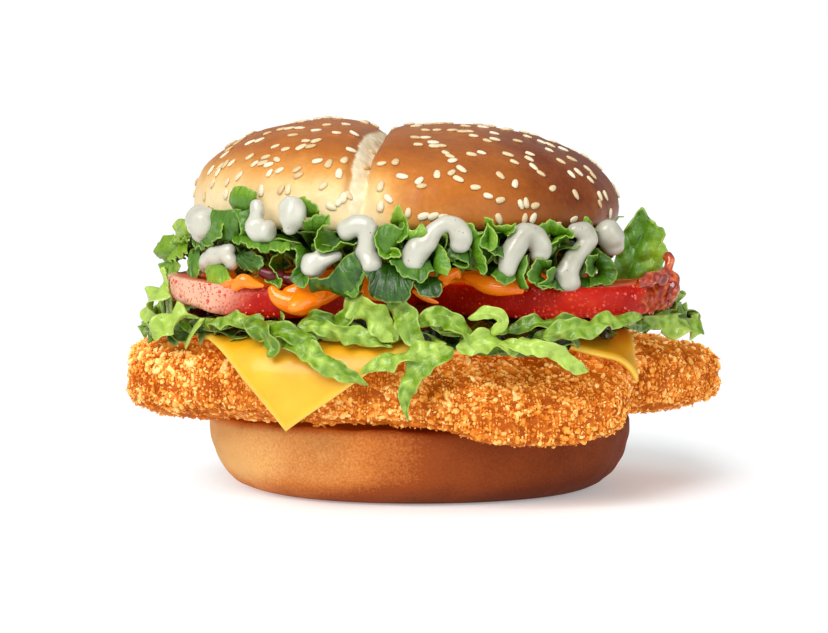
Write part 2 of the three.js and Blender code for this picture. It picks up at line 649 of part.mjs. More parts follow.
// ---------------------------------------------------------------- shredded lettuce
// A shred is a ribbon. It leaves the layer at an azimuth, runs out past the patty's edge, and falls down its
// side by its hang, drifting sideways; it twists about its own line as it goes.
function shredGrid(shred, columns) {
  const grid = [[], []];
  const edge = pattyReach(rad(shred.at + shred.drift)) + 1.5;
  for (let i = 0; i <= columns; i++) {
    const t = i / columns;
    const azimuth = rad(shred.at + shred.drift * t);
    const out = Math.min(t / 0.6, 1);
    const radius = mix(edge - SHRED.root, edge + shred.over, Math.sin((Math.PI / 2) * out));
    const z = shred.z - shred.hang * smooth(t, 0.4, 1) + 0.9 * Math.sin(9 * t + shred.at);
    const twist = rad(shred.twist) * t + 0.4 * Math.sin(6 * t + shred.at);
    const width = (shred.width / 2) * (1 - 0.7 * t ** 4);
    [-1, 1].forEach((side, row) => {
      const sideways = (side * width * Math.cos(twist)) / radius;
      const point = new THREE.Vector3(
        radius * Math.cos(azimuth + sideways),
        radius * Math.sin(azimuth + sideways),
        z + side * width * Math.sin(twist),
      );
      grid[row].push(pressed(point, SHRED.thickness, coverTop, tomatoFloor));
    });
  }
  return grid;
}

// The shreds' bulk is one flat cake with a crinkled rim. The rim follows the patty's outline, hangs over it a
// little more in some places than in others, and is folded up and down in waves that swing in and out.
function skirtPoint(azimuth, v) {
  const share = Math.min(1, 2.25 * Math.min(v, 1 - v)) ** 0.45;
  const loose = smooth(share, 0.6, 1);
  const wave = SKIRT.waves * azimuth + 1.6 * Math.sin(2 * azimuth + 1) + Math.sin(5 * azimuth);
  const margin = Math.min(pattyReach(azimuth) + SKIRT.over, SKIRT.limit) + 1.6 * wobble(azimuth, 5.5);
  const radius = margin * share + SKIRT.swing * loose * Math.sin(wave + 1.2);
  const droop = SKIRT.hang * (1 + 0.8 * wobble(azimuth, 2.9)) * loose ** 2;
  const z = SKIRT.z - droop + SKIRT.height * loose * Math.sin(wave);
  const point = new THREE.Vector3(radius * Math.cos(azimuth), radius * Math.sin(azimuth), z);
  pressed(point, SKIRT.thickness, coverTop, tomatoFloor);
  point.z += (v < 0.5 ? 0.5 : -0.5) * SKIRT.thickness;
  return point;
}

const SHREDS = [
  { at: -172, drift: -6, over: -2, z: 46, hang: 7, width: 9, twist: 30 },
  { at: -152, drift: 7, over: 0, z: 46, hang: 5, width: 8, twist: 50 },
  { at: -121, drift: 13, over: 4, z: 47, hang: 10, width: 8, twist: 40 },
  { at: -97, drift: -6, over: 4, z: 48, hang: 4, width: 9, twist: -50 },
  { at: -87, drift: -8, over: 4, z: 47, hang: 18, width: 6.5, twist: 35 },
  { at: -64, drift: 7, over: 1, z: 47, hang: 10, width: 8, twist: 45 },
  { at: -31, drift: 5, over: 5, z: 47, hang: 4, width: 9, twist: -35 },
  { at: -2, drift: 6, over: -3, z: 47, hang: 7, width: 10, twist: 20 },
];

// Round the far side the shreds follow a rule: even spacing with a seeded spread.
function farShreds() {
  const random = randomStream(23);
  const made = [];
  for (let at = 42; at < 170; at += 35)
    made.push({
      at: at + 6 * (random() - 0.5),
      drift: 14 * (random() - 0.5),
      over: 2,
      z: 46,
      hang: 5 + 9 * random(),
      width: 7 + 3 * random(),
      twist: 80 * (random() - 0.5),
    });
  return made;
}

// ---------------------------------------------------------------- materials
const material = (name, color, roughness) => new THREE.MeshStandardMaterial({ name, color, roughness, metalness: 0 });
const MATERIALS = {
  heel: material("bun_side", 0xcf8d55, 0.75),
  crust: material("bun_crust", 0xb9702f, 0.5),
  crumb: material("breading", 0xcf7a34, 0.8),
  cheese: material("cheese", 0xfbbf30, 0.4),
  tomato: material("tomato", 0xc9301c, 0.3),
  orange: material("orange_sauce", 0xf98a12, 0.25),
  cream: material("white_sauce", 0xe9e2d2, 0.35),
  frill: material("frilly_leaf", 0x4f8f2a, 0.45),
  shred: material("shredded_leaf", 0x9cc447, 0.4),
};

// ---------------------------------------------------------------- assembly
const burger = new THREE.Group();

function place(name, solid, look) {
  const mesh = new THREE.Mesh(geometryFrom(solid), look);
  mesh.name = name;
  burger.add(mesh);
}

const heel = solidOf(ringGeometry(heelPoint, 32, 11));
place("heel", heel, MATERIALS.heel);

const patty = pattySolid(54, 12);
const pattyRoom = solidOf(ringGeometry((angle, v) => pattyPoint(angle, v, PATTY.crag + GAP), 54, 12));
place("patty", cutRound(patty, [grownSolid(ringGeometry(heelPoint, 32, 11), GAP)]), MATERIALS.crumb);

const cheeseRoom = [];
for (const [name, slice] of Object.entries(SLICES)) {
  const solid = solidOf(sliceGeometry(slice, 7));
  place(name, cutRound(solid, [pattyRoom, ...cheeseRoom]), MATERIALS.cheese);
  cheeseRoom.push(solidOf(sliceGeometry(slice, 7, GAP)));
}

const tomatoRoom = [];
for (const [name, slice] of Object.entries(TOMATOES)) {
  place(name, solidOf(ringGeometry((angle, v) => tomatoPoint(slice, angle, v), 26, 6)), MATERIALS.tomato);
  tomatoRoom.push(solidOf(ringGeometry((angle, v) => tomatoPoint(slice, angle, v, GAP), 26, 6)));
}

const sauce = solidOf(ringGeometry(saucePoint, 44, 5));
place("orange_sauce", cutRound(sauce, tomatoRoom), MATERIALS.orange);
const sauceRoom = solidOf(ringGeometry((angle, v) => saucePoint(angle, v, GAP), 44, 5));

const crownDome = solidOf(ringGeometry(crownPoint, 40, 13));
const crownRoom = solidOf(ringGeometry((angle, v) => crownPoint(angle, v, GAP), 40, 13));
const seeds = seedGeometries().map(solidOf);
place("crown", largestBody(join([crownDome, ...seeds])), MATERIALS.crust);

const dollopRoom = [];
const dollops = [...FRONT_DOLLOPS.map((stations) => [stations, -1]), ...BACK_DOLLOPS.map((stations) => [stations, 1])];
dollops.forEach(([stations, side], index) => {
  const name = "white_sauce_" + String(index + 1).padStart(2, "0");
  const solid = solidOf(dollopGeometry(stations, side));
  place(name, cutRound(solid, [crownRoom, ...tomatoRoom, sauceRoom]), MATERIALS.cream);
  dollopRoom.push(solidOf(dollopGeometry(stations, side, GAP)));
});

const ribbons = [...SHREDS, ...farShreds()].map((shred) => sheetGeometry(shredGrid(shred, 4), SHRED.thickness));
place(
  "shredded_lettuce",
  cutRound(join([ringGeometry(skirtPoint, 58, 9), ...ribbons].map(solidOf)), [pattyRoom, ...cheeseRoom, ...tomatoRoom]),
  MATERIALS.shred,
);

const leaves = [...LEAVES.map((leaf) => leafGrid(leaf, 10, 2)), standingGrid(4, 3)];
const salad = [ringGeometry(heartPoint, 24, 5), ...leaves.map((grid) => sheetGeometry(grid, LEAF.thickness))];
place(
  "frilly_lettuce",
  cutRound(join(salad.map(solidOf)), [crownRoom, sauceRoom, ...tomatoRoom, ...dollopRoom]),
  MATERIALS.frill,
);

export default burger;
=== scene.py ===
# %% [markdown]
# # A breaded burger in a split sesame bun
# This lesson dresses a plain solid model of a burger. The solids give the size and the place of every
# layer. Here each layer gets its real surface: crust, crumbs, melted edges, curled leaves and thick sauce.
# Everything is measured in millimetres with numpy and becomes metres only when a mesh is made.

import math
from collections import namedtuple

import bpy
import numpy as np
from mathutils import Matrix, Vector


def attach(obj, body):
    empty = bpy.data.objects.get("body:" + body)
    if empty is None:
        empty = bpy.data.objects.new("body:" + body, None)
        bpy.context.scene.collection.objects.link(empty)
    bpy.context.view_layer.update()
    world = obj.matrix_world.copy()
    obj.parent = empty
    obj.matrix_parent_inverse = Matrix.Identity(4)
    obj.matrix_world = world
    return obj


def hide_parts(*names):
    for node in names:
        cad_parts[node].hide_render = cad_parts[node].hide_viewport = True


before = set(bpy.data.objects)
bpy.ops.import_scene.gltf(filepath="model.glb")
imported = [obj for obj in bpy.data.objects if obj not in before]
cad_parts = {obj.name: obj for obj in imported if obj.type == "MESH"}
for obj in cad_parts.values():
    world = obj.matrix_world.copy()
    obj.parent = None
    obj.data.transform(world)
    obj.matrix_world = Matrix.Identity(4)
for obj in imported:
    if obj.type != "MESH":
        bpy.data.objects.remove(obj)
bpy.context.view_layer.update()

# %% [markdown]
# ## The layers' sizes
# A burger is a stack, so every piece needs to know where its neighbours end. These are the same named sizes
# as the solids have: the bottom bun, the fillet, the slices and the top bun. The front is the side of -Y,
# and an azimuth is measured from +X towards +Y.

# %% Named sizes in millimetres
MM = 0.001
TAU = 2 * np.pi
HEEL = dict(radius=54.9, foot=41.0, height=19.5, bulge=17.0, edge=2.0)
PATTY = dict(length=75.6, depth=60.0, bottom=19.85, top=40.6, square=2.5)
CHEESE = dict(side=84.0, thickness=1.8, overhang=4.2, bend=8.5)
TOMATO = dict(thickness=7.7, bottom=47.7)
SAUCE = dict(thickness=2.4, bottom=55.8, radius=46.0)
CROWN = dict(x=-3.5, radius=55.6, bottom=69.4, edge=3.0, left=25.2, right=23.4)
CREASE = dict(x=-8.4, lean=0.12, depth=5.6, left=4.4, right=2.0)
AIR = 0.35
print("height of the stack, mm:", CROWN["bottom"] + CROWN["left"] + CROWN["edge"])

# %% [markdown]
# ## Small maths
# Food has no straight lines. Its shapes come from a few soft building blocks: a bell for a lump, a smooth
# step for a rim, a wobble that closes on itself round a bun, and a relief that rises and falls in every
# direction. A sum of cosines in random directions gives that relief at any point in space, so it has no
# seam. Most grids here have one row of azimuths and one column of shares, which numpy spreads over each
# other.


# %% Bells, steps, wobbles, relief and grids
def bell(distance, width):
    """A bump of height 1: e to the minus square of the distance over the width."""
    return np.exp(-((distance / width) ** 2))


def smooth(value, low, high):
    """A soft step from 0 at low to 1 at high: 3 t squared minus 2 t cubed."""
    t = np.clip((value - low) / (high - low), 0, 1)
    return t * t * (3 - 2 * t)


def mix(first, last, share):
    """The value that lies a share of the way from first to last."""
    return first + (last - first) * share


def turn(angle, other):
    """The signed angle from other to angle, in degrees, between -180 and 180."""
    return (angle - other + 180) % 360 - 180


def wobble(angle, key):
    """A closed wavy line: sines of two, three and five waves a turn."""
    slow = 0.4 * np.sin(2 * angle + key) + 0.35 * np.sin(3 * angle + 2.1 * key)
    return slow + 0.25 * np.sin(5 * angle + 3.7 * key)


def relief(points, size, seed, waves=18):
    """Soft bumps about size mm apart, between about -1 and 1: cosines in random directions, added up."""
    random = np.random.default_rng(seed)
    directions = unit(random.normal(size=(waves, 3))) * TAU / size
    phases = random.uniform(0, TAU, waves)
    return np.cos(points @ directions.T + phases).sum(-1) * math.sqrt(2 / waves) * 0.6


def unit(vectors):
    """Vectors divided by their own length."""
    return vectors / np.maximum(np.linalg.norm(vectors, axis=-1, keepdims=True), 1e-9)


def azimuths(sides):
    """A full turn as one row of angles. The last would repeat the first, so it is left out."""
    return np.linspace(0, TAU, sides, endpoint=False)[None]


def shares(rows):
    """The numbers from 0 to 1 as one column, with one for each row of a grid."""
    return np.linspace(0, 1, rows)[:, None]


def polar(radius, angle, z):
    """Points from radius, azimuth and height: radius times cosine, radius times sine, height."""
    return np.stack(np.broadcast_arrays(radius * np.cos(angle), radius * np.sin(angle), z), -1)


def squarish(lift, across_power, up_power):
    """The cosine and sine of a lift, each to its own power: below 1 it squares the circle's shoulders."""
    up = np.sin(lift)
    return np.abs(np.cos(lift)) ** across_power, np.sign(up) * np.abs(up) ** up_power


def run_along(line):
    """How far along a line each of its points lies: the sum of the steps up to it."""
    return np.concatenate([[0], np.cumsum(np.linalg.norm(np.diff(line[:, :3], axis=0), axis=-1))])


print("relief of a few points:", relief(np.eye(3) * 5, 4, 1).round(2))

# %% [markdown]
# ## From grids to closed skins
# Every piece is one or more closed skins. Three ways of closing a grid cover the whole burger. Rings
# between two poles make buns, slices and blobs. A sheet with two faces and a rim makes leaves and cheese.
# Many copies of one small shape, each turned and stretched, make seeds and crumbs. A skin also carries
# numbers on its points, such as how brown it is, from baking and painted shade, which the materials read
# later.

# %% Skins from grids
Skin = namedtuple("Skin", "points quads triangles paint")


def outward(skin):
    """The skin with its faces outwards: if its signed volume is negative, each face is read backwards."""
    corners = np.concatenate([skin.triangles, skin.quads[:, [0, 1, 2]], skin.quads[:, [0, 2, 3]]])
    a, b, c = (skin.points[corners[:, i]] for i in range(3))
    if np.einsum("ij,ij->", a, np.cross(b, c)) >= 0:
        return skin
    return skin._replace(quads=skin.quads[:, ::-1], triangles=skin.triangles[:, ::-1])


def rings(points, **paint):
    """Rows of points round an axis, closed at both ends: the first and last rows shrink to a point."""
    rows, sides = points.shape[:2]

    def strand(values):
        ends = values[:1].mean(1), values[-1:].mean(1)
        return np.concatenate([ends[0], values[1:-1].reshape(-1, *values.shape[2:]), ends[1]])

    at = 1 + np.arange((rows - 2) * sides).reshape(rows - 2, sides)
    beside = np.roll(at, -1, axis=1)
    quads = np.stack([at[:-1], at[1:], beside[1:], beside[:-1]], -1).reshape(-1, 4)
    pole = np.zeros(sides, int)
    first_cap = np.stack([pole, at[0], beside[0]], -1)
    last_cap = np.stack([at[-1], pole + at[-1, -1] + 1, beside[-1]], -1)
    painted = {key: strand(values) for key, values in paint.items()}
    return outward(Skin(strand(points), quads, np.concatenate([first_cap, last_cap]), painted))


def sheet_normals(points):
    """Unit normals of an open grid: its columns' step crossed with its rows' step."""
    return unit(np.cross(np.gradient(points, axis=1), np.gradient(points, axis=0)))


def sheet(points, thickness, **paint):
    """A grid moved half its thickness to both sides along its normals, with the faces joined at the rim."""
    half = sheet_normals(points) * np.broadcast_to(thickness, points.shape[:2])[..., None] / 2
    both = np.stack([points + half, points - half])
    at = np.arange(both[..., 0].size).reshape(both.shape[:3])
    faces = np.stack([at[:, :-1, :-1], at[:, :-1, 1:], at[:, 1:, 1:], at[:, 1:, :-1]], -1)
    edge = np.concatenate([at[:, 0, :-1], at[:, :-1, -1], at[:, -1, :0:-1], at[:, :0:-1, 0]], axis=1)
    beyond = np.roll(edge, -1, axis=1)
    rim = np.stack([beyond[0], edge[0], edge[1], beyond[1]], -1)
    quads = np.concatenate([faces[0].reshape(-1, 4), faces[1].reshape(-1, 4)[:, ::-1], rim])
    doubled = {key: np.tile(values.ravel(), 2) for key, values in paint.items()}
    return outward(Skin(both.reshape(-1, 3), quads, np.zeros((0, 3), int), doubled))


def joined(skins):
    """Several skins as one, each with its faces counted on from the points before it."""
    starts = np.cumsum([0] + [len(skin.points) for skin in skins])
    return Skin(
        np.concatenate([skin.points for skin in skins]),
        np.concatenate([skin.quads + start for skin, start in zip(skins, starts)]),
        np.concatenate([skin.triangles + start for skin, start in zip(skins, starts)]),
        {key: np.concatenate([skin.paint[key] for skin in skins]) for key in skins[0].paint},
    )


def copies(skin, places, axes, **paint):
    """One small skin at many places: each copy's points are its place plus its three axes times the shape."""
    count, size = len(places), len(skin.points)
    points = places[:, None, :] + np.einsum("pk,nkd->npd", skin.points, axes)
    shift = size * np.arange(count)[:, None, None]
    spread = {
        key: (values if values.ndim == 2 else np.repeat(values[:, None], size, axis=1)).ravel()
        for key, values in paint.items()
    }
    quads = (skin.quads[None] + shift).reshape(-1, 4)
    triangles = (skin.triangles[None] + shift).reshape(-1, 3)
    return Skin(points.reshape(-1, 3), quads, triangles, spread)


# %% [markdown]
# ## From skins to Blender objects
# A mesh is filled in one go from whole arrays, which is far faster than adding faces one by one. The helper
# also gives the new piece its finish, hangs it under the root, and hides the solids that it stands for.


# %% Making a piece
def make_piece(name, skin, material, stands_for=(), flat=False):
    """A Blender object from a skin: its points in metres, its faces and its painted numbers."""
    mesh = bpy.data.meshes.new(name)
    corners = np.concatenate([skin.quads.ravel(), skin.triangles.ravel()])
    quad_starts = 4 * np.arange(len(skin.quads))
    starts = np.concatenate([quad_starts, 4 * len(skin.quads) + 3 * np.arange(len(skin.triangles))])
    mesh.vertices.add(len(skin.points))
    mesh.vertices.foreach_set("co", (skin.points * MM).astype(np.float32).ravel())
    mesh.loops.add(len(corners))
    mesh.loops.foreach_set("vertex_index", corners.astype(np.int32))
    mesh.polygons.add(len(starts))
    mesh.polygons.foreach_set("loop_start", starts.astype(np.int32))
    mesh.polygons.foreach_set("use_smooth", np.full(len(starts), not flat))
    for key, values in skin.paint.items():
        mesh.attributes.new(key, "FLOAT", "POINT").data.foreach_set("value", values.astype(np.float32))
    mesh.update(calc_edges=True)
    mesh.validate()
    mesh.materials.append(material)
    piece = bpy.data.objects.new(name, mesh)
    bpy.context.scene.collection.objects.link(piece)
    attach(piece, "root")
    if stands_for:
        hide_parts(*stands_for)
    low, high = skin.points.min(0), skin.points.max(0)
    triangles = 2 * len(skin.quads) + len(skin.triangles)
    print(f"{name}: {triangles} triangles, {low.round(1)} to {high.round(1)} mm")
    return piece


# %% [markdown]
# ## Writing materials as sums
# A material is a graph of nodes, but most of it is arithmetic. One small class wraps the output of a node,
# so that a line such as `0.3 + 0.2 * grain` adds the nodes by itself. A second one holds the material, and
# has one method for every other kind of node.


# %% Wires and finishes
class Wire:
    """A number that flows through a material. Python's signs add the Math nodes for it."""

    def __init__(self, finish, socket):
        self.finish, self.socket = finish, socket

    def _sum(self, operation, first, second):
        return self.finish.node("Math", {0: first, 1: second}, operation=operation)

    def __add__(self, other):
        return self._sum("ADD", self, other)

    def __sub__(self, other):
        return self._sum("SUBTRACT", self, other)

    def __rsub__(self, other):
        return self._sum("SUBTRACT", other, self)

    def __mul__(self, other):
        return self._sum("MULTIPLY", self, other)

    __radd__ = __add__
    __rmul__ = __mul__


def colour(red, green, blue):
    """A screen colour, 0 to 255, as the light that a shader works with."""
    share = np.array([red, green, blue]) / 255
    return (*np.where(share <= 0.04045, share / 12.92, ((share + 0.055) / 1.055) ** 2.4), 1.0)


class Finish:
    """A material. Its shader's constants are set when it is made, and feed() links what varies.

    Seep is how far red, green and blue light spread inside, in mm, before the shader's own scale.
    """

    def __init__(self, name, seep=(1.0, 1.0, 1.0), **constants):
        self.material = bpy.data.materials.new(name)
        self.material.use_nodes = True
        self.tree = self.material.node_tree
        self.shader = self.tree.nodes["Principled BSDF"]
        constants["Subsurface Radius"] = [MM * depth for depth in seep]
        for key, value in constants.items():
            self.shader.inputs[key.replace("_", " ")].default_value = value
        self.spot = self.node("TexCoord", output="Object")

    def node(self, kind, inputs=None, output=0, **settings):
        """Any node: its type, its sockets' values or wires, and its settings. Gives one output as a wire."""
        made = self.tree.nodes.new("ShaderNode" + kind)
        for key, value in settings.items():
            setattr(made, key, value)
        for key, value in (inputs or {}).items():
            if isinstance(value, Wire):
                self.tree.links.new(value.socket, made.inputs[key])
            else:
                made.inputs[key].default_value = value
        return Wire(self, made.outputs[output])

    def painted(self, key):
        """A number that the mesh carries on its points."""
        return self.node("Attribute", output="Fac", attribute_name=key)

    def millimetres(self, axis):
        """Where a point of the surface lies on the axis X, Y or Z."""
        return self.node("SeparateXYZ", {0: self.spot}, axis) * 1000

    def grain(self, size, detail=2.0):
        """Noise between 0 and 1 with grains about size mm across."""
        return self.node("TexNoise", {"Vector": self.spot, "Scale": 1 / (size * MM), "Detail": detail})

    def cells(self, size):
        """Distance from the nearest of many random points about size mm apart."""
        return self.node("TexVoronoi", {"Vector": self.spot, "Scale": 1 / (size * MM)})

    def step(self, value, low, high):
        """A wire as a soft step from 0 at low to 1 at high."""
        limits = {"Value": value, "From Min": low, "From Max": high}
        return self.node("MapRange", limits, interpolation_type="SMOOTHSTEP")

    def ramp(self, value, stops):
        """Colours along a number: each stop is a place from 0 to 1 and a screen colour."""
        wire = self.node("ValToRGB", {"Fac": value})
        elements = wire.socket.node.color_ramp.elements
        while len(elements) < len(stops):
            elements.new(1)
        for element, (place, shade) in zip(elements, stops):
            element.position, element.color = place, colour(*shade)
        return wire

    def blend(self, share, first, second):
        """Two colours mixed by a share: sockets 6 and 7 of the node are its colours, and output 2 the mix."""
        return self.node("Mix", {0: share, 6: first, 7: second}, 2, data_type="RGBA")

    def bump(self, height, depth, strength):
        """Feeds the shader's normal with a height whose full range is depth mm."""
        self.feed(Normal=self.node("Bump", {"Height": height, "Distance": depth * MM, "Strength": strength}))

    def feed(self, **wires):
        """Links wires to the shader's sockets, which are named with _ for each space."""
        for key, wire in wires.items():
            self.tree.links.new(wire.socket, self.shader.inputs[key.replace("_", " ")])


# %% [markdown]
# ## Camera, lights and floor
# The photograph is taken from straight in front and only a little above, with a long lens, so that the
# layers show side on. A large soft lamp to the front left makes the right side of each layer darker, and
# two weak ones keep the shade open. The floor and the sky are white, and the burger's soft shadow falls to
# the right.
# Both buns, in part, and the white sauce are also painted darker towards the right: a painted shade.

# %% Camera
EYE = (-1.6, -950.0, 112.0)
LOOK_AT = (-1.6, 0.0, 44.5)
SENSOR = 36
PICTURE_WIDTH = 828
FOCAL_LENGTH_IN_PIXELS = 3619.0
camera = bpy.data.objects.new("camera", bpy.data.cameras.new("camera"))
bpy.context.scene.collection.objects.link(camera)
camera.location = Vector(EYE) * MM
camera.rotation_euler = (Vector(LOOK_AT) - Vector(EYE)).to_track_quat("-Z", "Y").to_euler()
camera.data.sensor_width = SENSOR
camera.data.lens = FOCAL_LENGTH_IN_PIXELS / PICTURE_WIDTH * SENSOR
camera.data.clip_start, camera.data.clip_end = 0.05, 50
bpy.context.scene.camera = camera
bpy.context.scene.view_settings.view_transform = "Standard"
print("lens, mm:", round(camera.data.lens, 1))

# %% Lights
SKY = 0.36


def lamp(name, direction, softness, strength, tint=(1.0, 1.0, 1.0)):
    """A far lamp that shines from a direction. Its softness is the angle of its disc, in degrees."""
    data = bpy.data.lights.new(name, "SUN")
    data.energy, data.angle, data.color = strength * math.pi, math.radians(softness), tint
    light = bpy.data.objects.new(name, data)
    light.rotation_euler = Vector(direction).to_track_quat("Z", "Y").to_euler()
    bpy.context.scene.collection.objects.link(light)


lamp("key_lamp", (-0.42, -0.75, 0.72), 40, 0.74, (1.0, 0.985, 0.96))
lamp("top_lamp", (-0.15, -0.1, 1.0), 60, 0.12)
lamp("fill_lamp", (0.72, -0.72, 0.22), 50, 0.3)

world = bpy.data.worlds.new("white_studio")
bpy.context.scene.world = world
world.use_nodes = True
sky = world.node_tree.nodes
backdrop = sky.new("ShaderNodeBackground")
backdrop.inputs["Color"].default_value = (1, 1, 1, 1)
sky["Background"].inputs["Color"].default_value = (1, 1, 1, 1)
sky["Background"].inputs["Strength"].default_value = SKY
which = sky.new("ShaderNodeMixShader")
ray = sky.new("ShaderNodeLightPath")
world.node_tree.links.new(ray.outputs["Is Camera Ray"], which.inputs[0])
world.node_tree.links.new(sky["Background"].outputs[0], which.inputs[1])
world.node_tree.links.new(backdrop.outputs[0], which.inputs[2])
world.node_tree.links.new(which.outputs[0], sky["World Output"].inputs["Surface"])
print("lamps:", [o.name for o in bpy.context.scene.objects if o.type == "LIGHT"])

# %% [markdown]
# The floor would look grey under soft lamps, so far from the burger it is lit from inside to pure white,
# and near it that light fades and the shadow shows. How near is an ellipse, drawn out towards the front and
# back.

# %% Floor
paper = Finish("white_paper", Roughness=0.9, Specular_IOR_Level=0.1, Emission_Strength=1.0)
squeeze = {"Vector": paper.spot, "Location": (-0.016, -0.027, 0), "Scale": (1, 0.45, 1)}
from_middle = paper.node("VectorMath", {0: paper.node("Mapping", squeeze)}, "Value", operation="LENGTH")
far = paper.step(from_middle * 1000, 56, 86)
paper.feed(
    Base_Color=paper.ramp(far, [(0.0, (234, 238, 240)), (1.0, (60, 60, 60))]),
    Emission_Color=paper.ramp(far, [(0.0, (144, 143, 142)), (1.0, (255, 255, 255))]),
)
FLOOR_SIZE = 6000.0
floor_mesh = bpy.data.meshes.new("floor")
floor_corners = np.array([[-1, -1, 0], [1, -1, 0], [1, 1, 0], [-1, 1, 0]]) * FLOOR_SIZE * MM
floor_mesh.from_pydata(floor_corners.tolist(), [], [(0, 1, 2, 3)])
floor_mesh.materials.append(paper.material)
floor = bpy.data.objects.new("floor", floor_mesh)
bpy.context.scene.collection.objects.link(floor)

# %% [markdown]
# ## The bottom bun
# The bottom bun is baked in a shallow pan: a flat foot, a full round lower edge and an almost upright side.
# Its skin is matt and finely grained, tan all over and browner where it touched the pan. It is turned like
# a pot, as a profile round the middle, and the profile is kept a little out of round.


# %% Bottom bun
def heel_surface(sides, rows):
    """A profile turned round Z: flat top, quarter-round edge, a quarter ellipse as side, flat foot."""
    angle, v = azimuths(sides), shares(rows)
    top, edge, side = 0.12, 0.2, 0.92
    bend = np.clip((v - top) / (edge - top), 0, 1) * np.pi / 2
    down = np.clip((v - edge) / (side - edge), 0, 1)
    height = (HEEL["height"] - HEEL["edge"]) * (1 - down**0.75)
    full = mix(HEEL["foot"], HEEL["radius"], np.sqrt(1 - (1 - np.minimum(height / HEEL["bulge"], 1)) ** 2))
    radius = np.select(
        [v <= top, v <= edge, v <= side],
        [(HEEL["radius"] - HEEL["edge"]) * v / top, HEEL["radius"] - HEEL["edge"] * (1 - np.sin(bend)), full],
        HEEL["foot"] * (1 - v) / (1 - side),
    )
    z = np.where(v <= edge, HEEL["height"] - HEEL["edge"] * (1 - np.cos(bend)), height)
    radius = radius * (1 + 0.008 * wobble(angle, 1.3))
    return polar(radius, angle, z)


def grid_normals(points):
    """Unit normals of a grid that closes round its columns: the rows' step crossed with the columns' step."""
    closed = np.concatenate([points[:, -1:], points, points[:, :1]], axis=1)
    normal = np.cross(np.gradient(points, axis=0), np.gradient(closed, axis=1)[:, 1:-1])
    normal[0], normal[-1] = normal[1].mean(0), normal[-2].mean(0)
    return unit(normal)


def raised(points, height):
    """The grid with each point moved along its normal by a height in millimetres."""
    return points + grid_normals(points) * height[..., None]


heel_points = heel_surface(sides=300, rows=100)
dough = 0.3 * relief(heel_points, 16, 2) + 0.1 * relief(heel_points, 5, 3)
heel_points = raised(heel_points, dough * smooth(heel_points[..., 2], 0, 3))
heel_points[..., 2] = np.maximum(heel_points[..., 2], 0)

# %% [markdown]
# The skin's colour is a base tan, clouded by two noises: a broad one for uneven baking and a fine one for
# the grain of the crumb under the skin. The object's own coordinates darken it towards the right, partly as
# baking and partly as painted shade, and brown it towards the lower edge.

# %% Bottom bun's finish
bun_side = Finish("bun_side", (2, 1, 0.5), Roughness=0.7, Specular_IOR_Level=0.12, Subsurface_Weight=0.06)
tone_mix, pores = bun_side.grain(14, 3), bun_side.grain(0.6, 3)
# Darker towards the right: partly browner baking, partly painted shade.
to_right = bun_side.step(bun_side.millimetres("X"), -58, 52)
to_foot = bun_side.step(bun_side.millimetres("Z"), 8, 0)
baked = to_right * 0.74 + to_foot * 0.26 + (tone_mix - 0.5) * 0.3 + (pores - 0.5) * 0.34
tans = [(0.0, (238, 178, 106)), (0.22, (208, 126, 58)), (0.42, (154, 74, 28)), (0.8, (106, 45, 18))]
bun_side.feed(Base_Color=bun_side.ramp(baked, tans))
bun_side.bump(pores * 0.6 + bun_side.cells(1.0) * 0.4, 0.3, 0.5)
make_piece("bun_heel", rings(heel_points), bun_side.material, ["heel"])

# %% [markdown]
# ## The fillet in breadcrumbs
# The fillet is an irregular slab, thicker than the bun is wide, with a lobe that hangs over the front and a
# deep fold towards its right end. Its crust is coarse dry crumbs fried golden. Relief alone looks like
# orange peel, and loose crumbs alone look like gravel, so the crust is both: a lumpy skin, and thousands of
# angular crumbs half sunk in it, each with its own shade.


# %% Fillet outline
def patty_reach(angle):
    """A superellipse seen from above, with a bump for each lobe and a dip for each fold."""
    degrees = np.degrees(angle)
    square = PATTY["square"]
    along, aside = np.cos(angle) / PATTY["length"], np.sin(angle) / PATTY["depth"]
    slab = np.abs(along) ** square + np.abs(aside) ** square
    lobes = 5.5 * bell(turn(degrees, -68), 22) + 1.6 * bell(turn(degrees, 3), 10)
    folds = 17 * bell(turn(degrees, -30), 10) + 3.5 * bell(turn(degrees, -141), 7)
    return slab ** (-1 / square) + lobes - folds + 1.5 * wobble(angle, 4.2)


def patty_droop(x, y):
    """How far the slab hangs below its flat middle: it grows past the bun's edge, most at the front lobe."""
    past = np.maximum(np.hypot(x, y) - 48, 0)
    return past * (0.03 + 0.38 * bell(turn(np.degrees(np.arctan2(y, x)), -66), 26))


def patty_surface(sides, rows):
    """Rings whose section is a squarish ellipse: the sine and cosine of the lift, each to the power 0.52."""
    angle = azimuths(sides)
    across, up = squarish(np.pi * (0.5 - shares(rows)), 0.52, 0.52)
    reach = patty_reach(angle) * across
    x, y = reach * np.cos(angle), reach * np.sin(angle)
    half = (PATTY["top"] - PATTY["bottom"]) / 2 * (1 + 0.1 * smooth(-x, 45, 65))
    lump = 1 + 0.03 * wobble(3 * angle, 0.7) * across
    z = (PATTY["top"] + PATTY["bottom"]) / 2 - patty_droop(x, y) + half * up
    z = z + 3.0 * smooth(-x, 46, 64) * np.maximum(up, 0)
    return np.stack([x * lump, y * lump, z], -1)


patty_points = patty_surface(sides=560, rows=144)
patty_normals = grid_normals(patty_points)
coarse = relief(patty_points, 9, 21)
medium = 1.15 * np.abs(relief(patty_points, 4.2, 22))
fine = relief(patty_points, 1.7, 23)
crag = 0.5 * coarse + 0.9 * (0.5 - medium) + 0.35 * fine - 0.55
patty_skin = patty_points + patty_normals * crag[..., None]
print("fillet relief, mm:", crag.min().round(2), "to", crag.max().round(2))

# %% Crumbs
GOLDEN = (1 + math.sqrt(5)) / 2


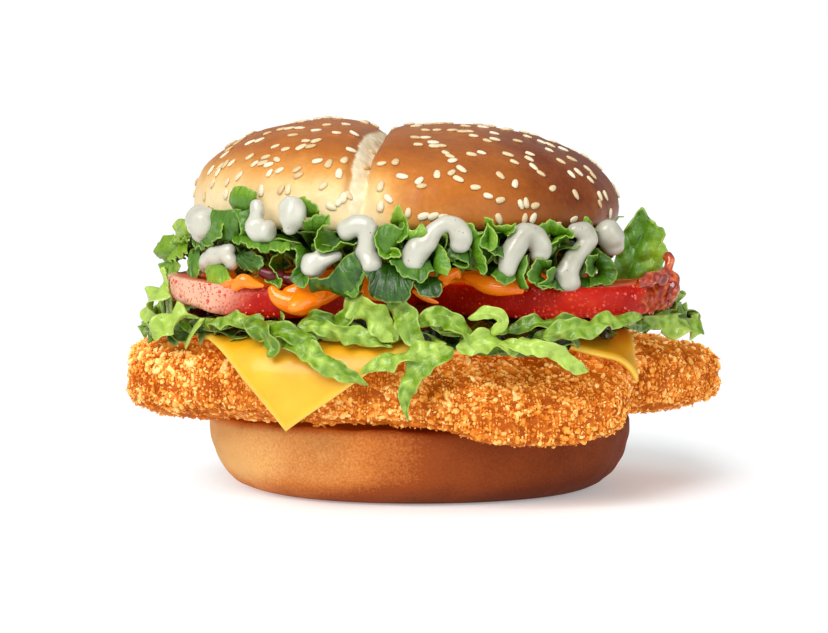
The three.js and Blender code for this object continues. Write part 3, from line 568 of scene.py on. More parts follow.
def gem():
    """A ball of twenty triangles, radius 1: the corners of three golden rectangles at right angles."""
    signs = [(a, b) for a in (-1, 1) for b in (-GOLDEN, GOLDEN)]
    corners = [(0, a, b) for a, b in signs] + [(a, b, 0) for a, b in signs] + [(b, 0, a) for a, b in signs]
    points = unit(np.array(corners, float))
    near = np.linalg.norm(points[:, None] - points[None], axis=-1) < 1.1
    threes = ((i, j, k) for i in range(12) for j in range(i) for k in range(j))
    triangles = np.array([(i, j, k) for i, j, k in threes if near[i, j] and near[j, k] and near[i, k]])
    a, b, c = (points[triangles[:, i]] for i in range(3))
    inside_out = np.einsum("ij,ij->i", a, np.cross(b, c)) < 0
    triangles[inside_out] = triangles[inside_out][:, ::-1]
    return Skin(points, np.zeros((0, 4), int), triangles, {})


def bit():
    """A ball of eight triangles, radius 1: the two pyramids of an octahedron."""
    points = np.array([[1, 0, 0], [0, 1, 0], [-1, 0, 0], [0, -1, 0], [0, 0, 1], [0, 0, -1]], float)
    round_about = [(i, (i + 1) % 4) for i in range(4)]
    triangles = np.array([(i, j, 4) for i, j in round_about] + [(j, i, 5) for i, j in round_about])
    return Skin(points, np.zeros((0, 4), int), triangles, {})


def cell_areas(points):
    """The area round each point of a grid: the step between rows times the step between columns."""
    row_step, column_step = (np.linalg.norm(np.gradient(points, axis=axis), axis=-1) for axis in (0, 1))
    return row_step * column_step


HIDDEN_RADIUS = 45
random = np.random.default_rng(31)
row_way = np.gradient(patty_points, axis=0)
patty_x, patty_y = patty_points[..., 0], patty_points[..., 1]
bare_top = smooth(patty_x, -20, 0) * smooth(-patty_y, 48, 54) * (patty_normals[..., 2] > 0)
flat_share = mix(0.25, 1.0, bare_top)
seen = cell_areas(patty_points) * np.where(np.abs(patty_normals[..., 2]) > 0.85, flat_share, 1.0)
seen[[0, -1]] = 0
seen[np.hypot(patty_x, patty_y) < HIDDEN_RADIUS] = 0


def scatter_crumbs(shape, count, smallest, largest, sunk, spread):
    """Copies of one crumb at random points of the crust, each with its own lean, lengths, toast and painted
    shade.
    """
    chosen = random.choice(seen.size, count, p=(seen / seen.sum()).ravel())
    up = patty_normals.reshape(-1, 3)[chosen]
    tilt = unit(up + random.normal(0, 0.4, (count, 3)))
    forward = unit(np.cross(tilt, random.normal(size=(count, 3))))
    sizes = smallest + (largest - smallest) * random.random(count) ** 2.4
    ranges = (0.9, 1.7), (0.5, 1.1), (0.4, 0.8)
    lengths = sizes * np.stack([random.uniform(least, most, count) for least, most in ranges])
    axes = np.stack([forward, np.cross(tilt, forward), tilt], axis=1) * lengths.T[..., None]
    places = patty_skin.reshape(-1, 3)[chosen] + up * random.normal(sunk, 0.16, count)[:, None]
    places = places + row_way.reshape(-1, 3)[chosen] * random.uniform(-0.6, 0.6, (count, 1))
    out_of_crust = np.einsum("nkd,nd,pk->np", axes, up, shape.points)
    # Toast of its own plus painted light and shade: paler tips, darker on low crust, paler high up.
    toast = 0.42 + spread * random.normal(size=count)[:, None] - 0.26 * out_of_crust
    toast = toast - 0.2 * crag.ravel()[chosen][:, None] - 0.14 * smooth(places[:, 2:], 31, 40)
    made = copies(shape, places, axes, toast=toast)
    on_bun = np.hypot(made.points[:, 0], made.points[:, 1]) < HEEL["radius"] + 0.5
    made.points[on_bun, 2] = np.maximum(made.points[on_bun, 2], HEEL["height"] + 0.1)
    return made


crumbs = scatter_crumbs(gem(), 9900, 0.3, 0.98, 0.0, 0.18)
grit = scatter_crumbs(bit(), 24000, 0.24, 0.58, 0.1, 0.22)

# %% [markdown]
# The crumbs run from pale gold to deep orange, and each has its own toast. On top of that the tips are
# painted paler and the hollows deeper orange, a painted highlight and shade, and the fillet's upper part is
# painted paler, a painted light. Both the skin and the crumbs carry one number for toast and painted shade,
# and one ramp turns it into colour. A little oil keeps them slightly glossy.


# %% Crumb crust's finish
CRUST_GLOW = 0.42
TOASTS = [
    (0.0, (254, 226, 154)),
    (0.26, (250, 200, 110)),
    (0.5, (236, 158, 58)),
    (0.74, (210, 112, 26)),
    (1.0, (168, 74, 8)),
]


def crust_finish(name, speck):
    """Toast from pale gold to deep orange, clouded by specks of the given size and by two broader noises."""
    surface = dict(Roughness=0.5, Specular_IOR_Level=0.18, Emission_Strength=CRUST_GLOW)
    made = Finish(name, (1.8, 0.9, 0.3), Subsurface_Weight=0.12, **surface)
    shade = made.painted("toast") + (made.grain(speck, 2) - 0.5) * 0.5 + (made.grain(12, 2) - 0.5) * 0.4
    shade = shade + (made.grain(3.6, 1) - 0.5) * 0.6
    height, across = made.millimetres("Z"), made.millimetres("X")
    # A painted light: the crust glows by itself, in its toasted colour where lit is high, else in dark brown.
    lit = made.step(height, 31, 40) * made.step(across, -12, 10)
    lit = lit + made.step(height, 22, 36) * made.step(across, -44, -60) * 0.8
    toasted = made.ramp(shade, TOASTS)
    made.feed(Base_Color=toasted, Emission_Color=made.blend(lit, colour(142, 78, 6), toasted))
    made.bump(made.grain(0.7, 3), 0.5, 0.8)
    return made.material


# The skin is painted darker in its hollows and paler on its upper part: a painted shade and light.
toast_base = 0.78 - 0.3 * crag - 0.14 * smooth(patty_skin[..., 2], 31, 40)
fillet = rings(patty_skin, toast=toast_base)
make_piece("fillet", fillet, crust_finish("crumb_crust", 1.6), ["patty"])
make_piece("breadcrumbs", crumbs, crust_finish("loose_crumb", 0.8), flat=True)
make_piece("fine_crumbs", grit, crust_finish("fine_crumb", 0.8), flat=True)

# %% [markdown]
# ## Two slices of cheese
# Each slice is a thin square that lies on the fillet and bends over its edge, so that a corner hangs down.
# The bend follows the fillet's outline: past the edge the sheet runs round a small radius and then straight
# down. Processed cheese is smooth and slightly see-through, with a soft gloss and thin pale edges.


# %% Cheese slices
def edge_table(fold, samples):
    """The furthest step in the fold's direction that still lies on the fillet, for each sideways shift."""
    steps = np.arange(20, 90, 0.5)[None]
    offset = samples[:, None]
    x = steps * math.cos(fold) - offset * math.sin(fold)
    y = steps * math.sin(fold) + offset * math.cos(fold)
    on = np.hypot(x, y) < patty_reach(np.arctan2(y, x)) - CHEESE["overhang"]
    return np.max(np.where(on, steps, 0), axis=1)


def cheese_slice(x0, y0, spin, fold, steep, raise_by, sag, cells=84):
    """A square laid flat, then bent over a round edge: away is the run outwards and drop the fall."""
    spin, fold, steep = np.radians([spin, fold, steep])
    half = CHEESE["side"] / 2
    line = np.linspace(-half, half, cells)
    across, along = np.meshgrid(line, line)
    x = x0 + across * math.cos(spin) - along * math.sin(spin)
    y = y0 + across * math.sin(spin) + along * math.cos(spin)
    out = x * math.cos(fold) + y * math.sin(fold)
    offset = -x * math.sin(fold) + y * math.cos(fold)
    samples = np.arange(-70.0, 71.0, 5.0)
    table = edge_table(fold, samples)
    even = np.convolve(np.pad(table, 1, mode="edge"), [0.25, 0.5, 0.25], "valid")
    edge = np.interp(offset, samples, even)
    past = np.maximum(out - edge, 0)
    bend = CHEESE["bend"]
    angle = np.minimum(past / bend, steep)
    rest = np.maximum(past - bend * steep, 0)
    lift = CHEESE["thickness"] / 2
    away = np.where(out > edge, edge + (bend + lift) * np.sin(angle) + rest * math.cos(steep), out)
    drop = (bend + lift) * (1 - np.cos(angle)) + rest * math.sin(steep)
    points = np.stack(
        [
            away * math.cos(fold) - offset * math.sin(fold),
            away * math.sin(fold) + offset * math.cos(fold),
            PATTY["top"] + 2 * AIR + raise_by + lift - drop,
        ],
        -1,
    )
    x, y = points[..., 0], points[..., 1]
    points[..., 2] -= sag * (1.15 * patty_droop(x, y) + 4.2 * smooth(x, 28, 54) * smooth(-y, 16, 40))
    to_rim = half - np.maximum(np.abs(across), np.abs(along))
    thickness = CHEESE["thickness"] * np.sqrt(1 - (1 - np.clip(to_rim / 0.9, 0.05, 1)) ** 2)
    points[..., 2] += 0.12 * relief(points, 22, 41)
    return sheet(points, thickness, rim=1 - smooth(to_rim, 0.2, 1.4))


milky = dict(Subsurface_Weight=0.35, Subsurface_Scale=1.0)
cheese = Finish("cheese", (3.5, 1.8, 0.4), Roughness=0.36, Specular_IOR_Level=0.45, Coat_Weight=0.08, **milky)
tone = cheese.ramp(cheese.grain(9, 2), [(0.3, (243, 170, 12)), (0.7, (250, 190, 34))])
cheese.feed(Base_Color=cheese.blend(cheese.painted("rim") * 0.7, tone, colour(255, 218, 92)))
cheese.bump(cheese.grain(2.5, 2), 0.2, 0.25)
SLICES = {  # x, y, spin, fold and steepness in degrees, how far raised, and the share of the fillet's droop
    "cheese_front": (-16, -22.4, 22.5, -113, 80, 0.0, 0),
    "cheese_right": (8.4, -6.5, 8.3, -36.7, 60, 2.2, 1),
}
for node, laid in SLICES.items():
    make_piece(node + "_slice", cheese_slice(*laid), cheese.material, [node])

# %% [markdown]
# ## Tomato slices
# A tomato slice is a thick disc: wet red skin round the rim, and paler flesh with seed chambers on the cut
# faces. The rim is what shows, so it gets a close grid, and its finish is a deep red under a thin clear
# coat, with fine pale dots like those of a real skin, and a faint red glow of its own, a painted light.
# Towards the left a pale sheen is painted into the skin's colour, with dark specks in it: a painted
# reflection of the lamp, which goes all round the left end of the left slice.


# %% Tomato slices
TEAR = dict(right_of=30, begins=54.5, bite=2.2)


def tomato_surface(x0, y0, radius, key, sides=360, rows=60):
    """A disc with a soft rim: flat faces, and an upright side that bulges as a squarish half circle."""
    angle, v = azimuths(sides), shares(rows)
    half, soft, flat = TOMATO["thickness"] / 2, 1.6, 0.22
    reach = radius * (1 + 0.02 * wobble(angle, key)) + 0.25 * wobble(4 * angle, 1.7 * key)
    reach = reach - TEAR["bite"] * bell(turn(np.degrees(angle), -15), 35) * (x0 > TEAR["right_of"])
    bend = mix(np.pi / 2, -np.pi / 2, np.clip((v - flat) / (1 - 2 * flat), 0, 1))
    on_face = (v < flat) | (v > 1 - flat)
    share = np.minimum(v, 1 - v) / flat
    out = np.where(on_face, (reach - soft) * share, reach - soft + soft * np.cos(bend))
    z = half * np.sign(np.sin(bend)) * np.abs(np.sin(bend)) ** 0.6
    middle = TOMATO["bottom"] + half
    points = polar(out, angle, middle + z) + [x0, y0, 0]
    x = points[..., 0]
    underneath = 1.6 * smooth(middle - points[..., 2], -1, half)
    points[..., 2] += (1.6 + underneath) * smooth(-x, 44, 64) + 1.2 * smooth(x, 48, 66)
    torn = smooth(x + 1.2 * relief(points, 4, 54), TEAR["begins"], TEAR["begins"] + 1.5)
    torn = torn * smooth(-points[..., 1], 0, 12)
    shreds = 0.5 * relief(points, 3.8, 52) + 0.14 * relief(points, 1.6, 53)
    points = raised(points, 0.12 * relief(points, 6, 51) * (share > 0.9) + torn * shreds)
    skin = np.where(on_face, smooth(share, 0.93, 1.0), 1.0) + 0 * angle
    chamber = smooth(np.cos(5 * angle + key), -0.2, 0.5) * smooth(share, 0.25, 0.4)
    chamber = np.where(on_face, chamber * smooth(-share, -0.85, -0.7), 0.0)
    # The mask of a painted sheen, a painted reflection of the lamp, at the left end of the left slice.
    wet = smooth(-points[..., 0] + 0.8 * points[..., 2] - 41, 41, 56) * (skin > 0.5)
    return rings(points, skin=skin, chamber=chamber, wet=wet, torn=torn)


# A faint red glow of the tomato's own: a painted light.
GLOW = dict(Emission_Color=colour(190, 26, 4), Emission_Strength=0.07)
WET_COAT = dict(Coat_Weight=0.12, Coat_Roughness=0.25)
tomato = Finish("tomato", (4, 0.8, 0.4), Specular_IOR_Level=0.13, Subsurface_Weight=0.1, **WET_COAT, **GLOW)
dots = tomato.step(tomato.cells(1.2), 0.42, 0.2)
flush = tomato.grain(9, 3)
reds = [(0.3, (160, 12, 0)), (0.55, (182, 26, 2)), (0.9, (216, 84, 40))]
skin_red = tomato.ramp(flush + dots * 0.2, reds)
pinks = [(0.2, (226, 108, 76)), (0.8, (196, 54, 14))]
flesh = tomato.ramp(tomato.painted("chamber") + (flush - 0.5) * 0.4, pinks)
browns = [(0.32, (98, 12, 0)), (0.5, (158, 48, 6)), (0.68, (212, 112, 46))]
pulp_red = tomato.ramp(tomato.grain(2.0, 3), browns)
specks = tomato.step(tomato.cells(0.85), 0.4, 0.2)
# The painted sheen: a pale colour with dark specks, painted over the red as a reflection of the lamp.
painted_sheen = tomato.painted("wet") * (1 - specks * 0.7) * (0.5 + flush * 0.5)
red_without_sheen = tomato.blend(tomato.painted("skin"), flesh, skin_red)
red_with_painted_sheen = tomato.blend(painted_sheen, red_without_sheen, colour(252, 208, 176))
tomato.feed(
    Base_Color=tomato.blend(tomato.painted("torn"), red_with_painted_sheen, pulp_red),
    Roughness=0.3 + tomato.grain(2.5, 3) * 0.25,
)
tomato.bump(tomato.grain(1.6, 3) * 0.5 + dots * 0.35, 0.3, 0.45)
TOMATOES = {  # x, y, radius and the key of the rim's waves
    "tomato_left": (-33.6, -21.5, 32.0, 0.4),
    "tomato_right": (34.4, -21.5, 32.5, 2.2),
    "tomato_back": (1.0, 29.6, 25.6, 5.1),
}
slices = {node: tomato_surface(*cut) for node, cut in TOMATOES.items()}
for node, slice_skin in slices.items():
    make_piece(node + "_slice", slice_skin, tomato.material, [node])

# %% [markdown]
# Freshly cut tomato is wet. Fine drops of juice sit on the skin of every slice, and each drop throws its
# own spark of light. They are small domes, set at random points of the rims and pressed half into the skin.


# %% Drops of juice
def ball(sides, rows):
    """A ball of radius 1 from rings: the sine and cosine of the angle down from the pole."""
    down = np.linspace(0, np.pi, rows)[:, None]
    return polar(np.sin(down), azimuths(sides), np.cos(down))


DROPS = 500
RIM_HEIGHT, RIM_HALF = 51.6, 4.6
random = np.random.default_rng(52)
drop_skins = []
for node, slice_skin in slices.items():
    x0, y0 = TOMATOES[node][:2]
    beside = np.abs(slice_skin.points[:, 2] - RIM_HEIGHT) < RIM_HALF
    on_rim = np.flatnonzero((slice_skin.paint["skin"] > 0.99) & beside)
    at = slice_skin.points[random.choice(on_rim, DROPS, replace=False)]
    away = unit((at - [x0, y0, 0]) * [1, 1, 0])
    size = (0.18 + 0.4 * random.random(DROPS) ** 2)[:, None]
    upright = np.tile([0, 0, 1.0], (DROPS, 1))
    drop_axes = np.stack([np.cross(away, upright) * size, upright * size, away * size * 0.6], 1)
    drop_skins.append(copies(rings(ball(8, 5)), at, drop_axes))
wet_red = dict(Base_Color=colour(214, 52, 24), Roughness=0.08)
juice = Finish("tomato_juice", Coat_Weight=1.0, Coat_Roughness=0.03, **wet_red)
make_piece("juice_drops", joined(drop_skins), juice.material)

# %% [markdown]
# ## Orange sauce
# The sauce is poured on the tomato and squeezed out by the top bun. It is one puddle whose edge runs in and
# out, and where a tongue of it passes a slice's edge it hangs down the side. It is glossy, bright orange
# and full of small red specks, and it glows a little by itself, a painted light.

# %% Orange sauce
TONGUES = np.array(
    [  # azimuth, reach, width in degrees, fall
        (-158, 19, 8, 0.3),
        (-135, 27, 6, 1),
        (-118, 24, 8, 6),
        (-103, 10, 5, 2.5),
        (-88, 8, 5, 2),
        (-67, 13, 11, 1),
        (-20, 2, 9, 0.3),
    ]
)


def tongues(angle, column):
    """The sum of the tongues' bells round the puddle, each times its own reach or fall."""
    around = turn(np.degrees(angle)[..., None], TONGUES[:, 0])
    return (TONGUES[:, column] * bell(around, TONGUES[:, 2])).sum(-1)


def sauce_reach(angle):
    """The puddle's edge: a wavy circle plus its tongues."""
    return SAUCE["radius"] * (0.94 + 0.05 * wobble(angle, 3.3)) + tongues(angle, 1)


def sauce_surface(sides, rows):
    """Rings with a full rounded edge, which fall by the tongue's drop over their last nine millimetres."""
    angle = azimuths(sides)
    across, up = squarish(np.pi * (0.5 - shares(rows)), 0.5, 0.7)
    edge = sauce_reach(angle)
    reach = edge * across
    hang = tongues(angle, 3) * smooth(reach, edge - 9, edge)
    half = SAUCE["thickness"] / 2
    return polar(reach, angle, SAUCE["bottom"] + half - hang + (half + 0.5 * hang) * up)


# The sauce glows a little in orange by itself: a painted light.
creamy_and_glowing = dict(Subsurface_Weight=0.4, Emission_Color=colour(255, 118, 6), Emission_Strength=0.24)
orange = Finish("orange_sauce", (3, 1.4, 0.3), Roughness=0.16, Coat_Weight=0.5, Coat_Roughness=0.05, **creamy_and_glowing)
spice = orange.step(orange.cells(1.3), 0.17, 0.07)
body = orange.ramp(orange.grain(5, 3), [(0.3, (252, 120, 6)), (0.7, (255, 148, 20))])
orange.feed(Base_Color=orange.blend(spice, body, colour(196, 34, 6)))
orange.bump(orange.grain(3, 2), 0.5, 0.3)
sauce_points = sauce_surface(sides=420, rows=46)
sauce_points = raised(sauce_points, 0.3 * relief(sauce_points, 6, 61))
make_piece("sauce_puddle", rings(sauce_points), orange.material, ["orange_sauce"])

# %% [markdown]
# The drips that show at the front are thick. Each is a rope with round ends through a few stations, so that
# it can lie on the slice and bulge over its rim. Where ropes touch or bend tightly their rings cross, so a
# Remesh modifier turns them into one even skin, and a Smooth modifier lets them flow together as thick
# sauce does.


# %% Ropes that flow together
def line_through(stations, steps):
    """A smooth line through a few stations: each span is a cubic, parallel at a station to its neighbours."""
    knots = np.asarray(stations, float)
    padded = np.concatenate([2 * knots[:1] - knots[1:2], knots, 2 * knots[-1:] - knots[-2:-1]])
    t = np.linspace(0, len(knots) - 1, steps)
    i = np.minimum(t.astype(int), len(knots) - 2)
    f = (t - i)[:, None]
    a, b, c, d = (padded[i + k] for k in range(4))
    square, cube = 2 * a - 5 * b + 4 * c - d, 3 * b - a - 3 * c + d
    return 0.5 * (2 * b + (c - a) * f + square * f**2 + cube * f**3)


def rope(stations, sides=28, rows=48):
    """A rope through stations of x, y, z and radius. The last rings shrink, so its ends are half balls."""
    line = line_through(stations, 200)
    run = run_along(line)
    first, last = line[0, 3], line[-1, 3]
    span = run[-1] + 0.8 * (first + last)
    at = span * (1 - np.cos(np.linspace(0, np.pi, rows))) / 2 - 0.8 * first
    place = np.stack([np.interp(at, run, line[:, i]) for i in range(3)], -1)
    radius = np.interp(at, run, line[:, 3])
    forward = unit(np.stack([np.interp(at, run, np.gradient(line[:, i])) for i in range(3)], -1))
    beyond = np.where(at < 0, at / (0.8 * first), np.maximum(at - run[-1], 0) / (0.8 * last))
    place = place + forward * np.where(at < 0, at, np.maximum(at - run[-1], 0))[:, None]
    radius = radius * np.sqrt(np.clip(1 - beyond**2, 0, 1))
    aside = unit(np.cross([0.0, 1.0, 0.0], forward))
    other = np.cross(forward, aside)
    angle = azimuths(sides)[..., None]
    ring = np.cos(angle) * aside[:, None] + np.sin(angle) * other[:, None]
    return place[:, None] + radius[:, None, None] * ring


def flow_together(piece, voxel, passes=8):
    """Applies a voxel remesh and a smoothing to a piece, and keeps the result as its mesh."""
    remesh = piece.modifiers.new("one_skin", "REMESH")
    remesh.mode, remesh.voxel_size, remesh.use_smooth_shade = "VOXEL", voxel * MM, True
    relax = piece.modifiers.new("relax", "SMOOTH")
    relax.factor, relax.iterations = 0.5, passes
    flowed = bpy.data.meshes.new_from_object(piece.evaluated_get(bpy.context.evaluated_depsgraph_get()))
    piece.modifiers.clear()
    piece.data = flowed
    print(piece.name, "faces after flowing together:", len(flowed.polygons))


DRIPS = [  # x, y, z and radius
    [(-46.1, -51.5, 55.5, 1.2), (-44.1, -52.2, 57.1, 1.8), (-41.8, -52.9, 56.4, 1.3),
      (-39.1, -53.5, 55.9, 0.5)],
    [(-36.9, -54.6, 55.2, 1.1), (-35.4, -55, 53.2, 2), (-32.4, -55, 51.9, 2.7), (-29, -54.8, 51.7, 3.1),
     (-26.2, -54.2, 53.2, 2.8), (-24.4, -53.4, 55, 2.2), (-22.8, -52.6, 55.4, 1.2)],
    [(-32.9, -54.2, 54.2, 1.6), (-29.9, -54, 55, 1.9), (-26.8, -53.6, 55.9, 1.6)],
    [(-13.7, -57, 56.6, 0.5), (-13.5, -57, 54.9, 1.2), (-12.2, -57, 53.6, 1.1), (-9.3, -57, 52.6, 0.4)],
    [(-1.8, -58, 54.9, 0.5), (0.4, -58, 53.7, 0.9), (2.8, -58, 52.5, 0.7), (4.3, -58, 52, 0.4)],
    [(4.9, -53, 57.8, 0.7), (6.6, -53, 58.3, 1.3), (8.8, -53, 59.3, 1.2), (9.6, -53, 58.1, 0.6)],
    [(6.1, -53, 56.4, 0.7), (7.3, -53, 58.1, 1)],
    [(11.4, -47.5, 57.9, 0.7), (13.4, -49.5, 57.2, 1.6), (16.4, -51.8, 56.1, 2.2), (19.3, -53.3, 55.4, 2),
     (22.3, -54.4, 55.4, 1.8), (25, -55, 54.9, 1)],
]
drip_skins = joined([rings(rope(drip)) for drip in DRIPS])
drips = make_piece("sauce_drips", drip_skins, orange.material)
flow_together(drips, 0.28, 5)

# %% [markdown]
# At the right end a slice is torn and its juicy seed pulp shows: ropes again, in the tomato's own reds,
# lumpier and glossier than skin. A few dark maroon scraps under the leaves are painted shade: ropes in
# one flat dark red that stand for tomato in shadow.

# %% Tomato pulp and scraps
PULP = [  # x, y, z and radius
    [(62, -30, 56.5, 1.8), (62.8, -29, 58.8, 1.2), (63.8, -28, 60.4, 1.4), (63.2, -27, 61.6, 0.8)],
    [(63.3, -30, 57, 1.5), (64.4, -30, 54.6, 1.9), (63.8, -31, 52, 2)],
    [(55, -44.8, 56, 1.2), (58.2, -42, 57, 1.8), (60.8, -38, 57, 1.8)],
]
# Dark blobs in one plain dark red, a painted shade, set under the leaves where tomato lies in shadow.
SHADE_SCRAPS = [
    [(-39.4, -51, 59.2, 1.3), (-37, -51, 58.4, 1.8), (-34.6, -51, 58.2, 1.4)],
    [(-33.8, -51, 57.6, 1.4), (-31.2, -51, 57.2, 1.9), (-28.4, -51, 57, 1.4)],
]
lumps = [rope(stations) for stations in PULP]
lumps = [raised(lump, 0.3 * relief(lump, 2.8, 57) + 0.4 * relief(lump, 5, 58)) for lump in lumps]
jelly = dict(Roughness=0.14, Subsurface_Weight=0.4, Coat_Weight=0.6, Coat_Roughness=0.04)
pulp = Finish("tomato_pulp", (4, 1.2, 0.4), **jelly)
browns = [(0.3, (108, 14, 2)), (0.5, (162, 44, 10)), (0.7, (216, 110, 48))]
pulp.feed(Base_Color=pulp.ramp(pulp.grain(2.2, 3), browns))
pulp.bump(pulp.grain(1.8, 3), 0.4, 0.3)
torn_end = make_piece("tomato_pulp", joined([rings(lump) for lump in lumps]), pulp.material)
flow_together(torn_end, 0.26, 2)
shade_scraps = joined([rings(rope(stations)) for stations in SHADE_SCRAPS])
shaded_red = Finish("shaded_tomato", Base_Color=colour(98, 18, 20), Roughness=0.3)
make_piece("tomato_shade_scraps", shade_scraps, shaded_red.material)

# %% [markdown]
# ## Shredded lettuce
# The shreds are strips cut from crisp leaves, pale green to yellow, lying on the cheese and falling over
# the fillet's edge. Each strip follows a smooth line through a few stations, is blistered along its middle
# and ruffled along its two cut edges. The strips at the front are placed one by one, as they are what is
# looked at, and the rest are drawn round the burger at random from the same rule.

# %% Strips of leaf
UP = np.array([0.0, 0.0, 1.0])


def strip(stations, seed, steps=90, across=17, ruffle=1.0, thickness=0.36, tones=(0.05, 0.85)):
    """A ruffled strip of leaf through stations of x, y, z, half width and roll.

    Roll 0 faces outwards and 90 upwards. Each cut edge follows a slow and a quick sine of the run, and the
    middle is blistered by relief and pleats.
    """
    random = np.random.default_rng(seed)
    line = line_through(stations, steps)
    phase = random.uniform(0, TAU, 8)
    t = np.linspace(0, 1, steps)
    place, half = line[:, :3], np.maximum(line[:, 3], 0.15)
    roll = np.radians(line[:, 4] + 30 * np.sin(6 * t + phase[6]))
    forward = unit(np.gradient(place, axis=0))
    outwards = unit(place * [1, 1, 0])
    facing = np.cos(roll)[:, None] * outwards + np.sin(roll)[:, None] * UP
    facing = unit(facing - (facing * forward).sum(-1, keepdims=True) * forward)
    sideways = np.cross(facing, forward)
    run = run_along(place)[:, None]
    v = np.linspace(-1, 1, across)[None]
    half = half[:, None]
    closing = np.sqrt(np.clip(1 - np.abs(2 * t - 1) ** 8, 0.02, 1))[:, None]
    ragged = 1 + 0.2 * np.sin(0.45 * run + phase[0]) * v + 0.06 * np.sin(1.7 * run + phase[1]) * v
    wave = np.where(v > 0, np.sin(0.66 * run + phase[2]), np.sin(0.8 * run + phase[3]))
    quick = np.where(v > 0, np.sin(1.6 * run + phase[7]), np.sin(1.9 * run + phase[5]))
    bend = ruffle * half * (0.52 * np.abs(v) ** 1.6 * wave + 0.08 * np.abs(v) ** 3 * quick)
    cup = 0.3 * half * np.sin(phase[4]) * (v**2 - 0.3)
    points = place[:, None] + sideways[:, None] * (half * closing * ragged * v)[..., None]
    pleats = np.sin(1.9 * run - 2.4 * np.abs(v) + phase[1])
    blister = (0.14 * relief(points, 3.4, seed + 1, 12) + 0.13 * pleats) * (1 - np.abs(v) ** 3)
    points = points + facing[:, None] * ((bend + cup) * closing + blister)[..., None]
    taper = thickness * (1 - 0.6 * np.abs(v) ** 4) * closing
    vein = bell(v + 0.15 * np.sin(0.6 * run + phase[5]), 0.13)
    tone = random.uniform(*tones)
    # The tone is painted lighter on the crests of pleats and blisters, darker in their valleys: a painted
    # shade.
    return points, taper, vein, tone + 0.8 * blister, np.abs(v) ** 3 + 0 * vein


def filling_floor(x, y):
    """The top of the cheese under the shreds, where the fillet is under them, and nothing beyond its edge."""
    on = np.hypot(x, y) < patty_reach(np.arctan2(y, x)) - 3
    return np.where(on, PATTY["top"] + 2 * AIR + CHEESE["thickness"] - patty_droop(x, y), -np.inf)


def tomato_ceiling(x, y):
    """The underside of the tomato slices, where one is over the shreds."""
    under = np.zeros(np.shape(x), bool)
    for x0, y0, radius, _ in TOMATOES.values():
        under |= np.hypot(x - x0, y - y0) < radius + 0.5
    return np.where(under, TOMATO["bottom"], np.inf)


def strip_skin(stations, seed, **shape):
    """A strip pressed between the cheese and the tomato, closed into a thin skin."""
    points, taper, vein, tone, edge = strip(stations, seed, **shape)
    x, y = points[..., 0], points[..., 1]
    pressed = np.minimum(points[..., 2], tomato_ceiling(x, y) - 0.5)
    points[..., 2] = np.maximum(pressed, filling_floor(x, y) + 0.5)
    return sheet(points, taper, vein=vein, tone=tone, edge=edge)


